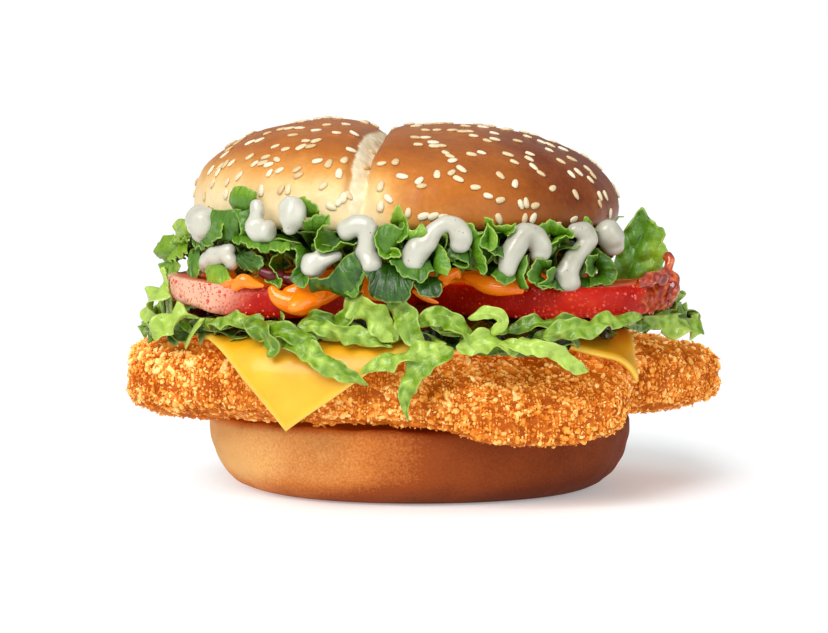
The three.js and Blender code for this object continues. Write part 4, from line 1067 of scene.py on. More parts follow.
FRONT_STRIPS = [  # tone, then stations of x, how far in front (-y), z, half width and roll
    (1, [(-62.6, 32.5, 58.6, 2.4, 10), (-67, 31.3, 52.4, 4.6, 10), (-70.6, 28.1, 45.2, 2.6, 0)]),
    (1, [(-55.2, 42.6, 49.4, 2.4, 40), (-59.4, 43.1, 47.8, 3.6, 20), (-64.1, 41.6, 45.3, 3.4, 10),
           (-67.6, 38.6, 41.7, 1, 0)]),
    (0.6, [(-54.9, 42, 45.6, 1.5, 40), (-49.4, 50.7, 47.7, 2.4, 30), (-43.8, 54.5, 47, 2, 20),
           (-38.9, 53.4, 48.4, 1.5, 40)]),
    (0.4, [(-43.4, 55.8, 47.9, 2, 40), (-39.2, 60.3, 45.2, 2.7, 10), (-36.6, 62.2, 41.8, 2.2, 0),
           (-37.6, 62.6, 38.9, 0.8, 0)]),
    (0.5, [(-40.8, 56.8, 43.6, 1.5, 20), (-34.7, 61.7, 45, 2.5, 20), (-28.9, 63.1, 43.8, 2.2, 15),
           (-25.3, 62.7, 41.2, 1, 20)]),
    (0.62, [(-35.3, 60, 44.2, 1.9, 30), (-29.8, 64.5, 41.6, 2.7, 15), (-23.8, 67.5, 38.2, 2.6, 8),
            (-18.4, 68.2, 35.2, 2.2, 5), (-12.6, 68.4, 32.4, 0.4, 0)]),
    (0.7, [(-30.3, 59.7, 46.7, 1.5, 40), (-22.3, 63.3, 45.8, 2.2, 20), (-13.9, 64.5, 43.6, 2.2, 15),
           (-6.8, 64.5, 41.7, 0.7, 30)]),
    (0.85, [(-18.3, 60.9, 53.9, 2.7, 5), (-13.9, 64.5, 50.6, 3.7, 5), (-9, 65.2, 46.7, 3.2, 10),
            (-5.8, 64.7, 43, 1.2, 20)]),
    (0.7, [(-7, 62.5, 53.4, 2.2, 10), (-4.1, 65, 48.7, 3, 5), (-2.1, 65.3, 44.8, 2.5, 10),
      (1.8, 65, 41.8, 1, 30)]),
    (0.3, [(-29.8, 57.9, 47.4, 1.2, 30), (-25.3, 60.7, 48.8, 2, 15), (-20.8, 61.5, 46.5, 1.2, 30)]),
    (0.5, [(-22.3, 61.3, 45, 1, 20), (-18.8, 62.8, 48, 2, 5), (-16.4, 62.2, 50.9, 1.2, 20)]),
    (0.85, [(-14.9, 65.4, 35, 0.7, 10), (-8.7, 67.3, 38.4, 2.4, 25), (-1.1, 68.5, 40.4, 2.6, 25),
            (6.3, 66.7, 42.6, 1.5, 40)]),
    (0.6, [(8.2, 66.6, 41.2, 1.7, 40), (3.5, 68.8, 39.4, 2.6, 20), (-0.8, 69.4, 36.2, 3.1, 10),
           (-3.2, 69.2, 32.4, 2.4, 5), (-3.9, 68.8, 28.8, 1.4, 0), (-3, 68.4, 23.6, 0.2, 0)]),
    (0.6, [(-1.1, 63.5, 46.8, 1.5, 30), (4.8, 66.4, 49.4, 2.5, 15), (10.1, 67.8, 46.4, 2.2, 10),
      (14.1, 66.5, 42.2, 1.2, 20)]),
    (1, [(11.6, 66.8, 48.8, 0.7, 20), (16.5, 68, 50.2, 1.6, 15), (20.2, 68, 48.3, 1.4, 5),
      (17.5, 67, 44.7, 1.2, 20)]),
    (0.85, [(8.7, 66, 41.5, 1.7, 30), (16.5, 68.5, 43, 3, 20), (24.8, 68.1, 41.9, 2, 25)]),
    (1, [(19.5, 67.5, 41.6, 1.6, 35), (26.8, 69.8, 42.4, 2, 20), (32.4, 69.5, 40.6, 2.2, 10),
      (37, 67.7, 37.7, 2, 5),
           (41.2, 64.8, 35.8, 1, 0)]),
    (0.3, [(21.5, 63.5, 45.7, 1.5, 45), (30.3, 64.1, 47.7, 2.2, 30), (38.9, 58.8, 47.8, 1.5, 40)]),
    (0.62, [(30, 65.6, 44.2, 2, 30), (37.7, 63.8, 45.9, 2.7, 20), (45.5, 59.6, 47.3, 2.4, 20),
      (55.6, 47.6, 48, 1.3, 30)]),
    (0.15, [(50.2, 50.9, 46.4, 1, 20), (55.5, 39.6, 45.2, 1.5, 15), (59.3, 32.7, 44.4, 1, 30)]),
    (0.7, [(56.2, 36.5, 46.8, 2.4, 40), (61.4, 33.5, 46.6, 4, 20), (67.4, 28.7, 45, 4.2, 15),
      (72.8, 24.7, 42, 1.8, 10)]),
    (0.9, [(66.2, 27.8, 53.4, 0.9, 10), (65.6, 28.8, 50.9, 1.9, 10), (63.9, 29.3, 48.6, 1.2, 20)]),
]
front_strips = [
    strip_skin(np.array(stations) * [1, -1, 1, 1, 1], 100 + index, tones=(tone, tone))
    for index, (tone, stations) in enumerate(FRONT_STRIPS)
]

# %% [markdown]
# A drawn strip runs round the burger near the fillet's edge, and now and then one hangs over it. Rings of
# them lie under the strips placed one by one, round the back, and further in. Short chips of leaf fill the
# front.

# %% Strips drawn at random
def random_strip(random, azimuth, layer, hanging=0.3, inner=-7, outer=2.5):
    """Stations of a strip at the fillet's edge: a short arc. If it hangs, it falls as a power of the run."""
    length = random.uniform(16, 34)
    hangs = random.random() < hanging
    t = np.linspace(0, 1, 5)
    reach = patty_reach(azimuth)
    swing = np.radians(np.degrees(length / reach) * (0.35 if hangs else 1))
    angles = azimuth + (t - 0.5) * swing * random.choice([-1, 1])
    edge = patty_reach(angles) + random.uniform(inner, outer)
    if hangs:
        edge = patty_reach(angles) + mix(-6, 2.2, np.minimum(2 * t, 1))
    z = layer + random.normal(0, 0.8, 5)
    z = z - (random.uniform(6, 15) * t**1.6 if hangs else random.uniform(0, 3) * t)
    radius = np.minimum(edge + random.normal(0, 1.0, 5), 72)
    half = random.uniform(1.5, 3.4) * np.array([0.6, 1, 1.05, 0.95, 0.35])
    roll = random.uniform(0, 70) + random.normal(0, 15, 5)
    droop = 0.6 * patty_droop(radius * np.cos(angles), radius * np.sin(angles))
    return np.concatenate([polar(radius, angles, z - droop), half[:, None], roll[:, None]], -1)


def leaf_chip(random, azimuth):
    """Stations for a short narrow cut of leaf that lies among the strips at the front."""
    t = np.linspace(-0.5, 0.5, 3)
    length, slope = random.uniform(6, 13), random.normal(0, 0.5)
    radius = patty_reach(azimuth) + random.uniform(-2.5, 0.5)
    angles = azimuth + t * length * math.cos(slope) / radius
    z = random.uniform(42.0, 47.0) + t * length * math.sin(slope)
    half = random.uniform(0.8, 1.6) * np.array([0.7, 1.0, 0.6])
    out = radius + random.normal(0, 0.5, 3)
    roll = random.uniform(-30, 90) + 0 * t
    return np.concatenate([polar(out, angles, z), half[:, None], roll[:, None]], -1)


def strip_ring(random, degrees, layers, seed, tones, end_tones, *edge, **grid):
    """One drawn strip for each azimuth, with the layers taken in turn, and other tones at the two ends."""
    made = []
    for index, azimuth in enumerate(np.radians(degrees)):
        stations = random_strip(random, azimuth, layers[index % len(layers)], *edge)
        at_end = abs(math.cos(azimuth)) > 0.9
        made.append(strip_skin(stations, seed + index, tones=end_tones if at_end else tones, **grid))
    return made


DEEP, MIXED, LIGHT, INNER = (-0.2, 0.25), (0.05, 0.85), (0.6, 1.0), (0.2, 0.9)
random = np.random.default_rng(77)
front_azimuths = np.r_[np.linspace(-178, -62, 18), np.linspace(-28, -4, 4)]
# The strips under the front ones take the DEEP tones: dark green, a painted shade in the gaps.
under_strips = strip_ring(random, front_azimuths, [44.6], 200, DEEP, DEEP, 0, -10, -3, steps=44, across=11)
back_azimuths = np.linspace(2, 178, 44)
round_strips = strip_ring(random, back_azimuths, [44.5, 46.5], 300, MIXED, LIGHT, steps=48, across=11)
inner_azimuths = np.linspace(-8, 188, 26)
round_strips += strip_ring(random, inner_azimuths, [48.4], 700, INNER, INNER, 0, -19, -6, steps=36, across=9)

for index, azimuth in enumerate(np.radians(np.linspace(-158, -58, 28))):
    chip = leaf_chip(random, azimuth)
    front_strips.append(strip_skin(chip, 600 + index, steps=26, across=9, ruffle=0.7, tones=(0.2, 1.1)))


# %% [markdown]
# The strips lie on a bed of more shreds that hardly shows. It is one flat cake that fills the layer between
# the cheese and the tomato, with a ragged rim that stays inside the strips. It is painted darkest at the
# front, a painted shade under the front strips.


# %% Bed of shreds
def bed_surface(sides, rows):
    """A flat cake in the layer under the tomato: its rim follows the fillet's outline, waved and set in."""
    angle, v = azimuths(sides), shares(rows)
    share = np.minimum(1, 2.25 * np.minimum(v, 1 - v)) ** 0.45
    radius = (np.minimum(patty_reach(angle) - 2.5, 62) + 1.2 * np.sin(31 * angle)) * share
    x, y = radius * np.cos(angle), radius * np.sin(angle)
    waves = np.sin(23 * angle + 2 * np.sin(5 * angle))
    z = 45.2 + 1.1 * smooth(share, 0.6, 1) * waves - 0.6 * patty_droop(x, y)
    return np.stack([x, y, z + np.where(v < 0.5, 1.9, -1.6)], -1)


bed_points = bed_surface(sides=320, rows=40)
bed_points = raised(bed_points, 0.5 * relief(bed_points, 3.5, 71))
plain = np.zeros(bed_points.shape[:2])
# Darkest at the front: a painted shade under the front strips.
bed_tone = mix(-0.5, 0.4, smooth(bed_points[..., 1], -28, -4)) + 0.3 * relief(bed_points, 4, 72)
bed = rings(bed_points, vein=plain, tone=bed_tone, edge=plain)

# %% [markdown]
# A leaf lets light through. A thin skin with subsurface scattering does that: light that enters at the back
# comes out green at the front. The tone number makes some strips yellower than others, and part of it is
# painted shade, darker in folds, under the front strips and deep in the salad. The vein number draws the
# pale rib, and the cut edge is a little lighter.


# %% Leaf finish
def leaf_finish(name, greens, rib, gloss, glow, lines, margins):
    """Four greens along the tone, faint ribs, a broken pale margin, and mottling of two sizes."""
    waxy = dict(Specular_IOR_Level=0.45, Coat_Weight=0.2, Coat_Roughness=0.2)
    made = Finish(name, (1.2, 2.0, 0.3), Subsurface_Weight=glow, **waxy)
    patches = made.grain(1.8, 2)
    mottle = (made.grain(7, 3) - 0.5) * 0.5 + (patches - 0.5) * 0.4
    shade = made.painted("tone") * 0.75 + 0.25 + mottle
    body = made.ramp(shade, list(zip((0.0, 0.3, 0.65, 1.0), greens)))
    ribbed = made.blend(made.painted("vein") * lines, body, colour(*rib))
    margin = made.step(made.painted("edge"), 0.4, 1.0) * made.step(patches, 0.25, 0.5) * margins
    leaf_colour = made.blend(margin, ribbed, colour(*rib))
    made.feed(Base_Color=leaf_colour, Roughness=gloss + made.grain(2.0, 2) * 0.25)
    made.bump(made.grain(1.1, 3) * 0.8 + made.painted("vein") * 0.3, 0.5, 0.8)
    return made.material


crisp_greens = [(24, 38, 0), (64, 104, 2), (108, 148, 10), (176, 206, 86)]
crisp = leaf_finish("crisp_leaf", crisp_greens, (206, 226, 124), 0.12, 0.2, 0.2, 0.4)
make_piece("front_shreds", joined(front_strips), crisp, ["shredded_lettuce"])
make_piece("lower_shreds", joined([bed] + under_strips), crisp)
make_piece("round_shreds", joined(round_strips), crisp)

# %% [markdown]
# ## Frilly lettuce
# A frilly leaf grows faster at its margin than at its base, so the margin has more length than room and
# folds to and fro like a river in a plain. The heading of a river's bends swings as a sine of the distance
# along it. Here the swing grows from nothing at the base to nearly two radians at the margin, which gives
# real curls that lean over themselves, and a small quick frill is added on top.


# %% Frilly leaves
def filling_top(x, y):
    """The highest thing under the frilly leaves: the sauce, or else a tomato slice."""
    on_tomato = np.isfinite(tomato_ceiling(x, y))
    on_sauce = np.hypot(x, y) < sauce_reach(np.arctan2(y, x)) - 1
    top = np.where(on_tomato, TOMATO["bottom"] + TOMATO["thickness"], -np.inf)
    return np.where(on_sauce, SAUCE["bottom"] + SAUCE["thickness"], top)


def bun_floor(x, y):
    """The underside of the top bun, where it is over the leaves."""
    return np.where(np.hypot(x - CROWN["x"], y) < CROWN["radius"] + 0.4, CROWN["bottom"], np.inf)


def frilly_leaf(at, span, base, reach, low, high, tilt, waves, fold, phase, light, columns=130, rows=13):
    """A fan whose margin meanders: tangential and upright runs are sums of the heading's cosine and sine."""
    u, v = shares(columns).T, shares(rows)
    heading = fold * v**1.25 * np.sin(TAU * waves * u + phase + 0.8 * np.sin(5 * u + phase))
    heading = heading + 0.22 * v**3 * np.sin(TAU * 2.7 * waves * u + 2 * phase)
    tangential = np.cumsum(np.cos(heading), axis=1)
    upright = np.cumsum(np.sin(heading), axis=1)
    length = tangential[:, -1:]
    radius = mix(base, reach, v)
    arc = math.radians(span) * mix(base, reach, 0.75)
    rise = (upright - upright.mean(1, keepdims=True)) / length * arc * (1 - 0.3 * (2 * u - 1) ** 6)
    azimuth = math.radians(at) + (tangential / length - 0.5) * arc / np.maximum(radius, 30)
    ragged = 1 + v * (0.03 * np.sin(11 * u + phase) - 0.1 * (2 * u - 1) ** 4)
    lean = math.radians(tilt)
    out = radius * ragged + math.sin(lean) * rise * v
    z = mix(low, high, v**1.5) + math.cos(lean) * rise
    points = polar(out, azimuth, z)
    points += 0.9 * v[..., None] * np.stack([relief(points, 9, seed) for seed in (81, 82, 83)], -1)
    x, y = points[..., 0], points[..., 1]
    ceiling = np.minimum(bun_floor(x, y) - 0.6, np.where(light < 0.45, CROWN["bottom"], np.inf))
    points[..., 2] = np.maximum(np.minimum(points[..., 2], ceiling), filling_top(x, y) + 0.5)
    ribs = 0.5 * bell(np.sin(TAU * waves * u + phase + 0.6 * np.sin(6 * v)), 0.14) * (1 - 0.5 * v)
    # The tone is painted darker towards the leaf's base and scaled by light: a painted shade deep in the
    # salad.
    tone = light * (0.15 + 0.75 * v**2) + 0 * u
    return sheet(points, 0.5 * (1 - 0.5 * v**6) + 0 * u, vein=ribs, tone=tone, edge=v**9 + 0 * u)


def leaf_row(count, start, stop, reach, low, high, seed, light=1.0):
    """Leaves side by side between two azimuths, each with its own reach, height, lean, folds and phase."""
    random = np.random.default_rng(seed)
    span = abs(stop - start) / count
    made = []
    for place in range(count):
        at = start + (stop - start) * (place + 0.5) / count + random.uniform(-3, 3)
        made.append(
            frilly_leaf(
                at,
                span * random.uniform(1.2, 1.4),
                random.uniform(41, 45),
                reach + random.uniform(-2, 1.5),
                low,
                high + random.uniform(-1.5, 1.5),
                random.uniform(5, 60),
                random.uniform(2.6, 3.6),
                random.uniform(1.6, 2.05),
                random.uniform(0, TAU),
                light * random.uniform(0.7, 1.1),
            )
        )
    return made


# The rows under the placed leaves are painted dark through light, 0.3 in front and 0.5 behind: a painted
# shade.
front_rows = (
    leaf_row(6, -184, -38, 57.5, 62, 61.5, 1, 0.3)
    + leaf_row(6, -176, -40, 58.5, 64, 64.0, 2, 0.3)
    + leaf_row(5, -158, -44, 58.0, 67, 67.0, 3, 0.3)
)
back_rows = (
    leaf_row(5, 22, 172, 60.0, 61, 60.0, 4, 0.5)
    + leaf_row(5, 26, 168, 60.0, 64, 64.0, 5, 0.5)
    + leaf_row(5, 24, 162, 60.0, 67, 67.0, 6, 0.5)
)

# %% [markdown]
# The leaves that are seen first are placed one by one. Each is a surface from a root line to a margin line,
# with a belly between them and a ruffle that grows towards the margin. The far side gets the same leaves,
# apart from the outermost and the tallest, turned half round and each with other ruffles.


# %% Leaves placed one by one
def even_line(stations, count):
    """Evenly spaced points on the line through stations of x, z and distance from the axis, at the front."""
    x, z, away = line_through(stations, 240).T
    line = np.stack([x, -np.sqrt(np.maximum(away**2 - x**2, 4)), z], -1)
    run = run_along(line)
    even = np.linspace(0, run[-1], count)
    return np.stack([np.interp(even, run, line[:, i]) for i in range(3)], -1), even


def placed_leaf(tone, ruffle, margin, root, seed, rows=12):
    """A ruled surface from root to margin, bellied by half a sine and ruffled by three sines of the run."""
    phase = np.random.default_rng(seed).uniform(0, TAU, 4)
    length = even_line(margin, 9)[1][-1]
    columns = int(np.clip(length * 3.4, 26, 120))
    outer, run = even_line(margin, columns)
    inner = even_line(root, columns)[0]
    v = shares(rows)
    points = mix(inner[None], outer[None], v[..., None])
    normal = sheet_normals(points)
    normal = normal * np.sign((normal * unit(points * [1, 1, 0])).sum())
    reach = np.linalg.norm(outer - inner, axis=-1)[None]
    wave = np.sin(1.2 * run + phase[0]) + 0.45 * np.sin(2.9 * run + phase[1])
    wave = wave + 0.2 * np.sin(5.3 * run + phase[3])
    blister = 0.35 * relief(points, 3.4, seed, 10) * np.sin(np.pi * v)
    belly = 0.14 * reach * np.sin(np.pi * v)
    points = points + normal * (belly + ruffle * (0.55 * v**2 * wave + blister))[..., None]
    edge = 1 - smooth(reach * (1 - v), 0.05, 0.65)
    ribs = bell(np.sin(0.8 * run + phase[2] + 0.7 * np.sin(3 * v)), 0.16) * (1 - 0.5 * v)
    # The tone is painted darker towards the root: a painted shade where the leaves overlap.
    tones = tone * mix(0.6, 1.0, v) + 0 * run
    return sheet(points, 0.42 * (1 - 0.5 * v**6) + 0 * run, vein=ribs, tone=tones, edge=edge)


# A leaf's tone is partly its own green and partly painted shade: leaves that lie in shade have low tones.
LEAVES = [  # tone, ruffle, then the stations of the margin and of the root: x, z and distance from the axis
    (0.75, 0.5, [(-47.8, 77.6, 60), (-47.4, 79.4, 61), (-45.8, 80.3, 61.5), (-43.7, 80.1, 61.5),
      (-41.9, 79.4, 61), (-40.9, 78.6, 60)],
     [(-46.4, 73.7, 61), (-45.3, 73.2, 61), (-43.7, 73.3, 61), (-42.5, 73.8, 60)]),
    (0.42, 0.7, [(-54.5, 74.6, 60), (-51.7, 74, 62), (-48.9, 74.2, 63), (-46.7, 74.6, 63.5),
      (-44.9, 74.4, 63)],
     [(-52.3, 65.8, 62), (-50, 66.6, 63), (-47.3, 66.5, 63), (-45.3, 67, 62)]),
    (0.55, 0.5, [(-46.2, 73.4, 64), (-45.3, 71.4, 64.5), (-45.1, 69.2, 64.5), (-45.4, 67.9, 64)],
     [(-42.4, 74.7, 62), (-42.1, 71.9, 62), (-42.6, 69.4, 62), (-43.4, 66.9, 62)]),
    (1, 0.4, [(-65, 68.4, 62), (-63.7, 70, 63), (-60.7, 70.9, 63), (-60, 69, 63), (-59.3, 65.8, 62)],
     [(-62.4, 64.8, 60), (-61.9, 64.5, 60), (-61.1, 64.5, 60)]),
    (0.85, 1.2, [(-59.7, 65.9, 63), (-64.8, 65.4, 65), (-68.2, 64.8, 66), (-69.5, 62.4, 66),
      (-68.8, 60.3, 66), (-66.4, 59, 66), (-62.4, 60.9, 65), (-59.5, 62.2, 64)],
     [(-58.6, 64.3, 60), (-59.8, 63.2, 59), (-59.8, 62.4, 59), (-59.3, 61.6, 59)]),
    (0.8, 1, [(-68.8, 58.4, 65), (-67.7, 56.3, 65.5), (-65.6, 55.3, 65.5), (-62.5, 57, 65),
      (-61.4, 58.8, 64)],
     [(-64, 60, 60), (-62.5, 60, 60), (-61.4, 59.8, 60)]),
    (0.6, 0.8, [(-59.1, 62.9, 63), (-59.6, 60.1, 65), (-59.3, 57.1, 65.5), (-57.5, 55.5, 65.5),
      (-56.1, 57.2, 65.5), (-54.9, 60.7, 64)],
     [(-57.7, 63.6, 61), (-56.5, 64, 61), (-55, 63.9, 61)]),
    (0.5, 0.8, [(-58.3, 64.4, 64), (-55, 64.1, 65), (-52.5, 65.6, 65.5), (-50.6, 67.2, 65.5),
      (-49.6, 69.8, 65), (-48.8, 70.2, 64)],
     [(-58.8, 65.3, 58), (-55.5, 66, 58), (-53.1, 67.4, 58), (-51.1, 70.6, 58)]),
    (0.62, 0.4, [(-49.6, 69.3, 61), (-47.9, 69.1, 61.6), (-47.4, 67.9, 62), (-47.9, 66.7, 62),
      (-49, 65.6, 62), (-50.1, 66, 61)],
     [(-50.2, 67.6, 58), (-49.8, 66.8, 58), (-49.8, 66.3, 58), (-50.3, 65.8, 58)]),
    (0.6, 0.8, [(-47.2, 66.4, 65), (-43.4, 65.9, 66), (-40.8, 64.8, 66.5), (-38.3, 64.4, 66.5),
      (-35.2, 64.7, 66.5), (-32.2, 64.8, 66)],
     [(-46.5, 67.6, 60), (-42.8, 67.3, 60), (-39.6, 66.6, 60), (-36, 66.5, 60), (-31.9, 66.4, 60)]),
    (0.2, 0.7, [(-45.2, 59.9, 63.5), (-42.5, 59.1, 64.5), (-40.2, 59.2, 65), (-39.1, 61, 65),
      (-39.9, 63.2, 65), (-42, 64.6, 64.5)],
     [(-47.6, 62.9, 60), (-45.4, 63.6, 60), (-43.3, 64.2, 60)]),
    (0.95, 0.5, [(-54.2, 58.8, 65), (-53.8, 56, 66.5), (-52.1, 54.2, 67), (-49.7, 54.1, 67),
      (-47.6, 55, 66.6), (-46.6, 56.7, 66)],
     [(-52.1, 60.5, 64.5), (-50.4, 60.4, 64.5), (-48.6, 59.7, 64)]),
    (0.5, 0.7, [(-35.6, 64.3, 63.5), (-36.8, 62.3, 64.5), (-37.1, 60.1, 65), (-35.3, 58.7, 65.3),
      (-34.3, 57.5, 65.3), (-35.3, 55.7, 65.3), (-37.4, 56.4, 65), (-39.4, 58.2, 64.5), (-41.5, 58.1, 64)],
     [(-34, 64.1, 59), (-34.6, 61.5, 58), (-34.1, 59, 58), (-35.1, 57.4, 58), (-37.2, 57.8, 58)]),
    (0.35, 0.5, [(-32.2, 65.3, 65.5), (-30.5, 64.4, 66), (-30.7, 61.9, 66.3), (-31.7, 59.4, 66.5),
      (-31.7, 57.4, 66.5), (-30, 55.8, 66.5), (-28.2, 56.6, 66.5), (-27.2, 58.3, 66.3)],
     [(-29.9, 65.8, 60), (-27.9, 64.3, 59), (-27.4, 61.8, 59), (-27.9, 59.8, 60), (-28.4, 58.4, 61)]),
    (0.12, 0.6, [(-27.7, 58, 66), (-25.2, 58.4, 66.5), (-22.7, 58.7, 67), (-20.7, 61, 67),
      (-18.8, 63.4, 66.6), (-16.3, 65.1, 66)],
     [(-26.8, 54.6, 63), (-23.3, 55.3, 64), (-20.3, 54.4, 65), (-17.3, 53.8, 65.5), (-14.9, 55.1, 65.5),
      (-13.9, 59.4, 64.5)]),
    (0.55, 0.6, [(-29, 71.9, 64), (-26.5, 73.5, 65), (-24.2, 73.8, 65.3), (-22.5, 74.1, 65.3),
      (-22.7, 71.9, 65.3), (-25, 69.9, 65.5), (-26.2, 67.7, 65.7), (-25.2, 65.2, 66), (-23.5, 64.5, 66),
      (-21.5, 66, 66), (-18.8, 67.1, 66), (-15.6, 67.1, 65.5)],
     [(-28.4, 69.2, 59), (-26.4, 69.8, 59), (-24.9, 70.3, 59), (-23.4, 69.8, 59), (-21.9, 69.4, 59),
      (-20.9, 68.4, 59), (-20.4, 67.9, 59), (-18.9, 67.9, 59), (-15.9, 68, 60)]),
    (0.7, 0.6, [(-30.9, 75.7, 60), (-30.1, 77.7, 61), (-28.3, 78, 62), (-26.5, 76.6, 62.5),
      (-24.8, 74.7, 62)],
     [(-29.4, 73.2, 59), (-27.9, 73, 59), (-26.4, 73.2, 59), (-24.9, 73.3, 59)]),
    (0.45, 0.5, [(-10.7, 70.5, 64.5), (-8.7, 71.8, 65.3), (-6.5, 71.6, 65.6), (-4.5, 70.8, 65.3),
      (-4, 72.3, 64.6)],
     [(-10.9, 66.3, 64), (-9.9, 64.4, 64.4), (-8, 63.7, 64.2), (-6, 67.2, 61), (-5, 68.1, 60)]),
    (0.5, 0.5, [(-10.9, 70.3, 65.6), (-11.1, 67.4, 66), (-10.4, 64.7, 66.2), (-8.5, 63.5, 66.2),
      (-5, 63.5, 66)],
     [(-9.5, 68.6, 61), (-9, 66.6, 60), (-8, 65.6, 60), (-7, 65.2, 60), (-4.6, 65.2, 60)]),
    (0.8, 0.4, [(-7.5, 72.4, 62), (-7, 74.4, 62.6), (-5.3, 76.4, 62.8), (-4.3, 74.7, 62.8),
      (-3.1, 71.7, 62.4)],
     [(-7, 71.1, 60), (-5.5, 71.1, 60), (-3.8, 70.8, 60)]),
    (0.8, 0.8, [(-3.8, 72.3, 64), (-2.3, 70.6, 65), (-0.9, 70.6, 65.4), (0.4, 71.8, 65.4),
      (1.6, 69.9, 65.4), (0.6, 68.1, 65)],
     [(-4.1, 68.3, 63), (-2.6, 67.8, 64), (-1.1, 67.9, 64.5), (0.4, 67.9, 64.6)]),
    (0.55, 0.5, [(-2.8, 72.3, 65), (-3.1, 70.4, 65.5), (-4, 67.9, 65.7), (-5.5, 66.9, 65.5)],
     [(-5, 71.6, 61), (-5.5, 70.1, 60), (-6, 68.1, 60), (-7, 67.6, 60)]),
    (0.6, 0.3, [(-7.7, 65.7, 65.3), (-6.5, 66, 65.8), (-5, 65.5, 66), (-4.8, 64, 66), (-6.2, 63.8, 66),
      (-7.7, 64.2, 65.6)],
     [(-7.2, 65.1, 63), (-6.3, 65.1, 63), (-5.5, 64.6, 63), (-6.5, 64.3, 63)]),
    (0.04, 0.7, [(-13.9, 60.7, 65.5), (-12.9, 57.6, 66.6), (-11.9, 54, 67), (-8.4, 52.8, 67.3),
      (-4.5, 52.6, 67.3), (-2.3, 54.8, 67), (-1.8, 58.2, 66.5)],
     [(-11.9, 62.3, 62), (-9.5, 62.3, 62), (-7.5, 61.8, 62), (-5.5, 61.3, 62), (-3.6, 60.8, 62)]),
    (0.25, 0.7, [(-7.5, 63, 66), (-5.8, 60.4, 67), (-3.1, 58.7, 67.3), (-0.1, 57.7, 67.3),
      (1.6, 58.9, 67), (3.3, 60.6, 66.4)],
     [(-6, 64.2, 61), (-4.1, 63.3, 61), (-1.6, 62.3, 61), (0.9, 62.3, 61), (2.3, 62.8, 61)]),
    (0, 0.5, [(-2.1, 57.1, 65), (-0.1, 54.7, 66), (2.8, 53.7, 66.3), (4.8, 54.7, 66.3), (5.5, 57.1, 65.6)],
     [(-1.6, 58.8, 61), (0.9, 58.8, 61), (3.8, 58.3, 61)]),
    (0.45, 0.8, [(-20.8, 56.4, 65.6), (-17.8, 54.1, 66.6), (-15.8, 54.1, 66.8), (-14.6, 56.6, 66.4),
      (-13.9, 60, 65.8)],
     [(-20.8, 60.2, 62), (-18.4, 62.2, 62), (-15.9, 62.7, 62)]),
    (0.7, 0.4, [(4.2, 67, 62.5), (6.2, 65.2, 64.6), (6.7, 63.5, 66.2), (7.5, 61.1, 66.6),
      (6.5, 59.1, 66.6)],
     [(3.2, 66, 61), (3.8, 64.4, 63), (3.3, 62.4, 63), (3.3, 60, 63.5)]),
    (0.2, 0.5, [(6.5, 64.5, 62.6), (8.4, 63, 63.6), (11.1, 62.5, 64), (12.1, 61.6, 64), (10.7, 61, 63.6),
      (7.7, 61.6, 63.4)],
     [(7.3, 66.7, 60), (9.7, 66.1, 60), (12.2, 64.6, 60)]),
    (0.55, 0.6, [(11.2, 72, 64), (13.1, 71.3, 65), (14.1, 69.8, 65.3), (15.6, 69.5, 65.5),
      (14.8, 67.4, 65.7), (15.1, 64.4, 66), (16.3, 62.2, 66.2), (16.3, 60, 66.2), (14.6, 59.8, 66)],
     [(11.7, 69.6, 60), (12.2, 67.6, 60), (12.7, 65.6, 60), (13.2, 64.1, 60), (13.7, 62.2, 61),
      (13.7, 60.7, 61)]),
    (0.4, 0.3, [(16.6, 72, 65), (15.3, 69.3, 65.8), (14.6, 66.6, 66), (16.3, 65.4, 66.2), (18.3, 65.8, 66)],
     [(16.9, 70.6, 62), (16.6, 68.6, 61), (16.6, 67.1, 61), (17.1, 66.6, 61)]),
    (0.75, 0.3, [(16.5, 72, 65.2), (18, 70.3, 66), (19, 67.8, 66.3), (18.3, 65.6, 66.2), (16.5, 65.1, 66)],
     [(16.6, 71.2, 64), (16.8, 69.2, 64.4), (16.8, 67.3, 64.6), (16.6, 65.8, 64.8)]),
    (0.72, 0.6, [(15.6, 72.9, 63), (17.6, 72.9, 64), (18.8, 71.2, 64.6), (20.8, 71.2, 65),
      (23.5, 71.9, 65), (22.7, 69.7, 65), (21.5, 68.4, 64.5)],
     [(16.2, 71, 60), (17.7, 70.5, 60), (19.1, 69.5, 60), (20.6, 69.4, 60), (21.6, 69.4, 60)]),
    (0.25, 0.6, [(19, 66.2, 64.5), (17, 65.3, 65.3), (18, 63.9, 65.6), (20.5, 63.8, 65.3)],
     [(19.6, 68, 60), (18.2, 67.5, 60), (18.7, 66, 60), (20.7, 66, 60)]),
    (0.6, 0.6, [(27.8, 70.5, 64), (30.7, 71.5, 65), (32.2, 72.9, 65.4), (34, 71.2, 65.6),
      (37, 70.1, 65.8), (37.8, 67.8, 65.8), (34.8, 68.2, 65.8), (32.7, 66, 65.6)],
     [(29.7, 68.2, 60), (31.2, 68.7, 60), (32.7, 68.7, 60), (34.3, 68.1, 60), (35.3, 67.1, 60),
      (34.3, 66.1, 60), (32.7, 65.2, 60)]),
    (0.3, 0.6, [(32.5, 62, 65), (30, 63.1, 65.8), (27.5, 61.7, 66.2), (26.5, 59.3, 66.4),
      (27.5, 56.8, 66.4), (30.5, 55.7, 66.4), (33.5, 55.4, 66)],
     [(32.2, 59.8, 61), (30.7, 60.3, 61), (29.7, 59.3, 60), (29.7, 57.8, 60), (31.2, 56.7, 60),
      (33.3, 56.7, 60)]),
    (0.35, 0.4, [(33, 61.1, 66), (31.5, 59.9, 66.4), (31, 58, 66.6), (29, 56.8, 66.4), (31.5, 56, 66.4)],
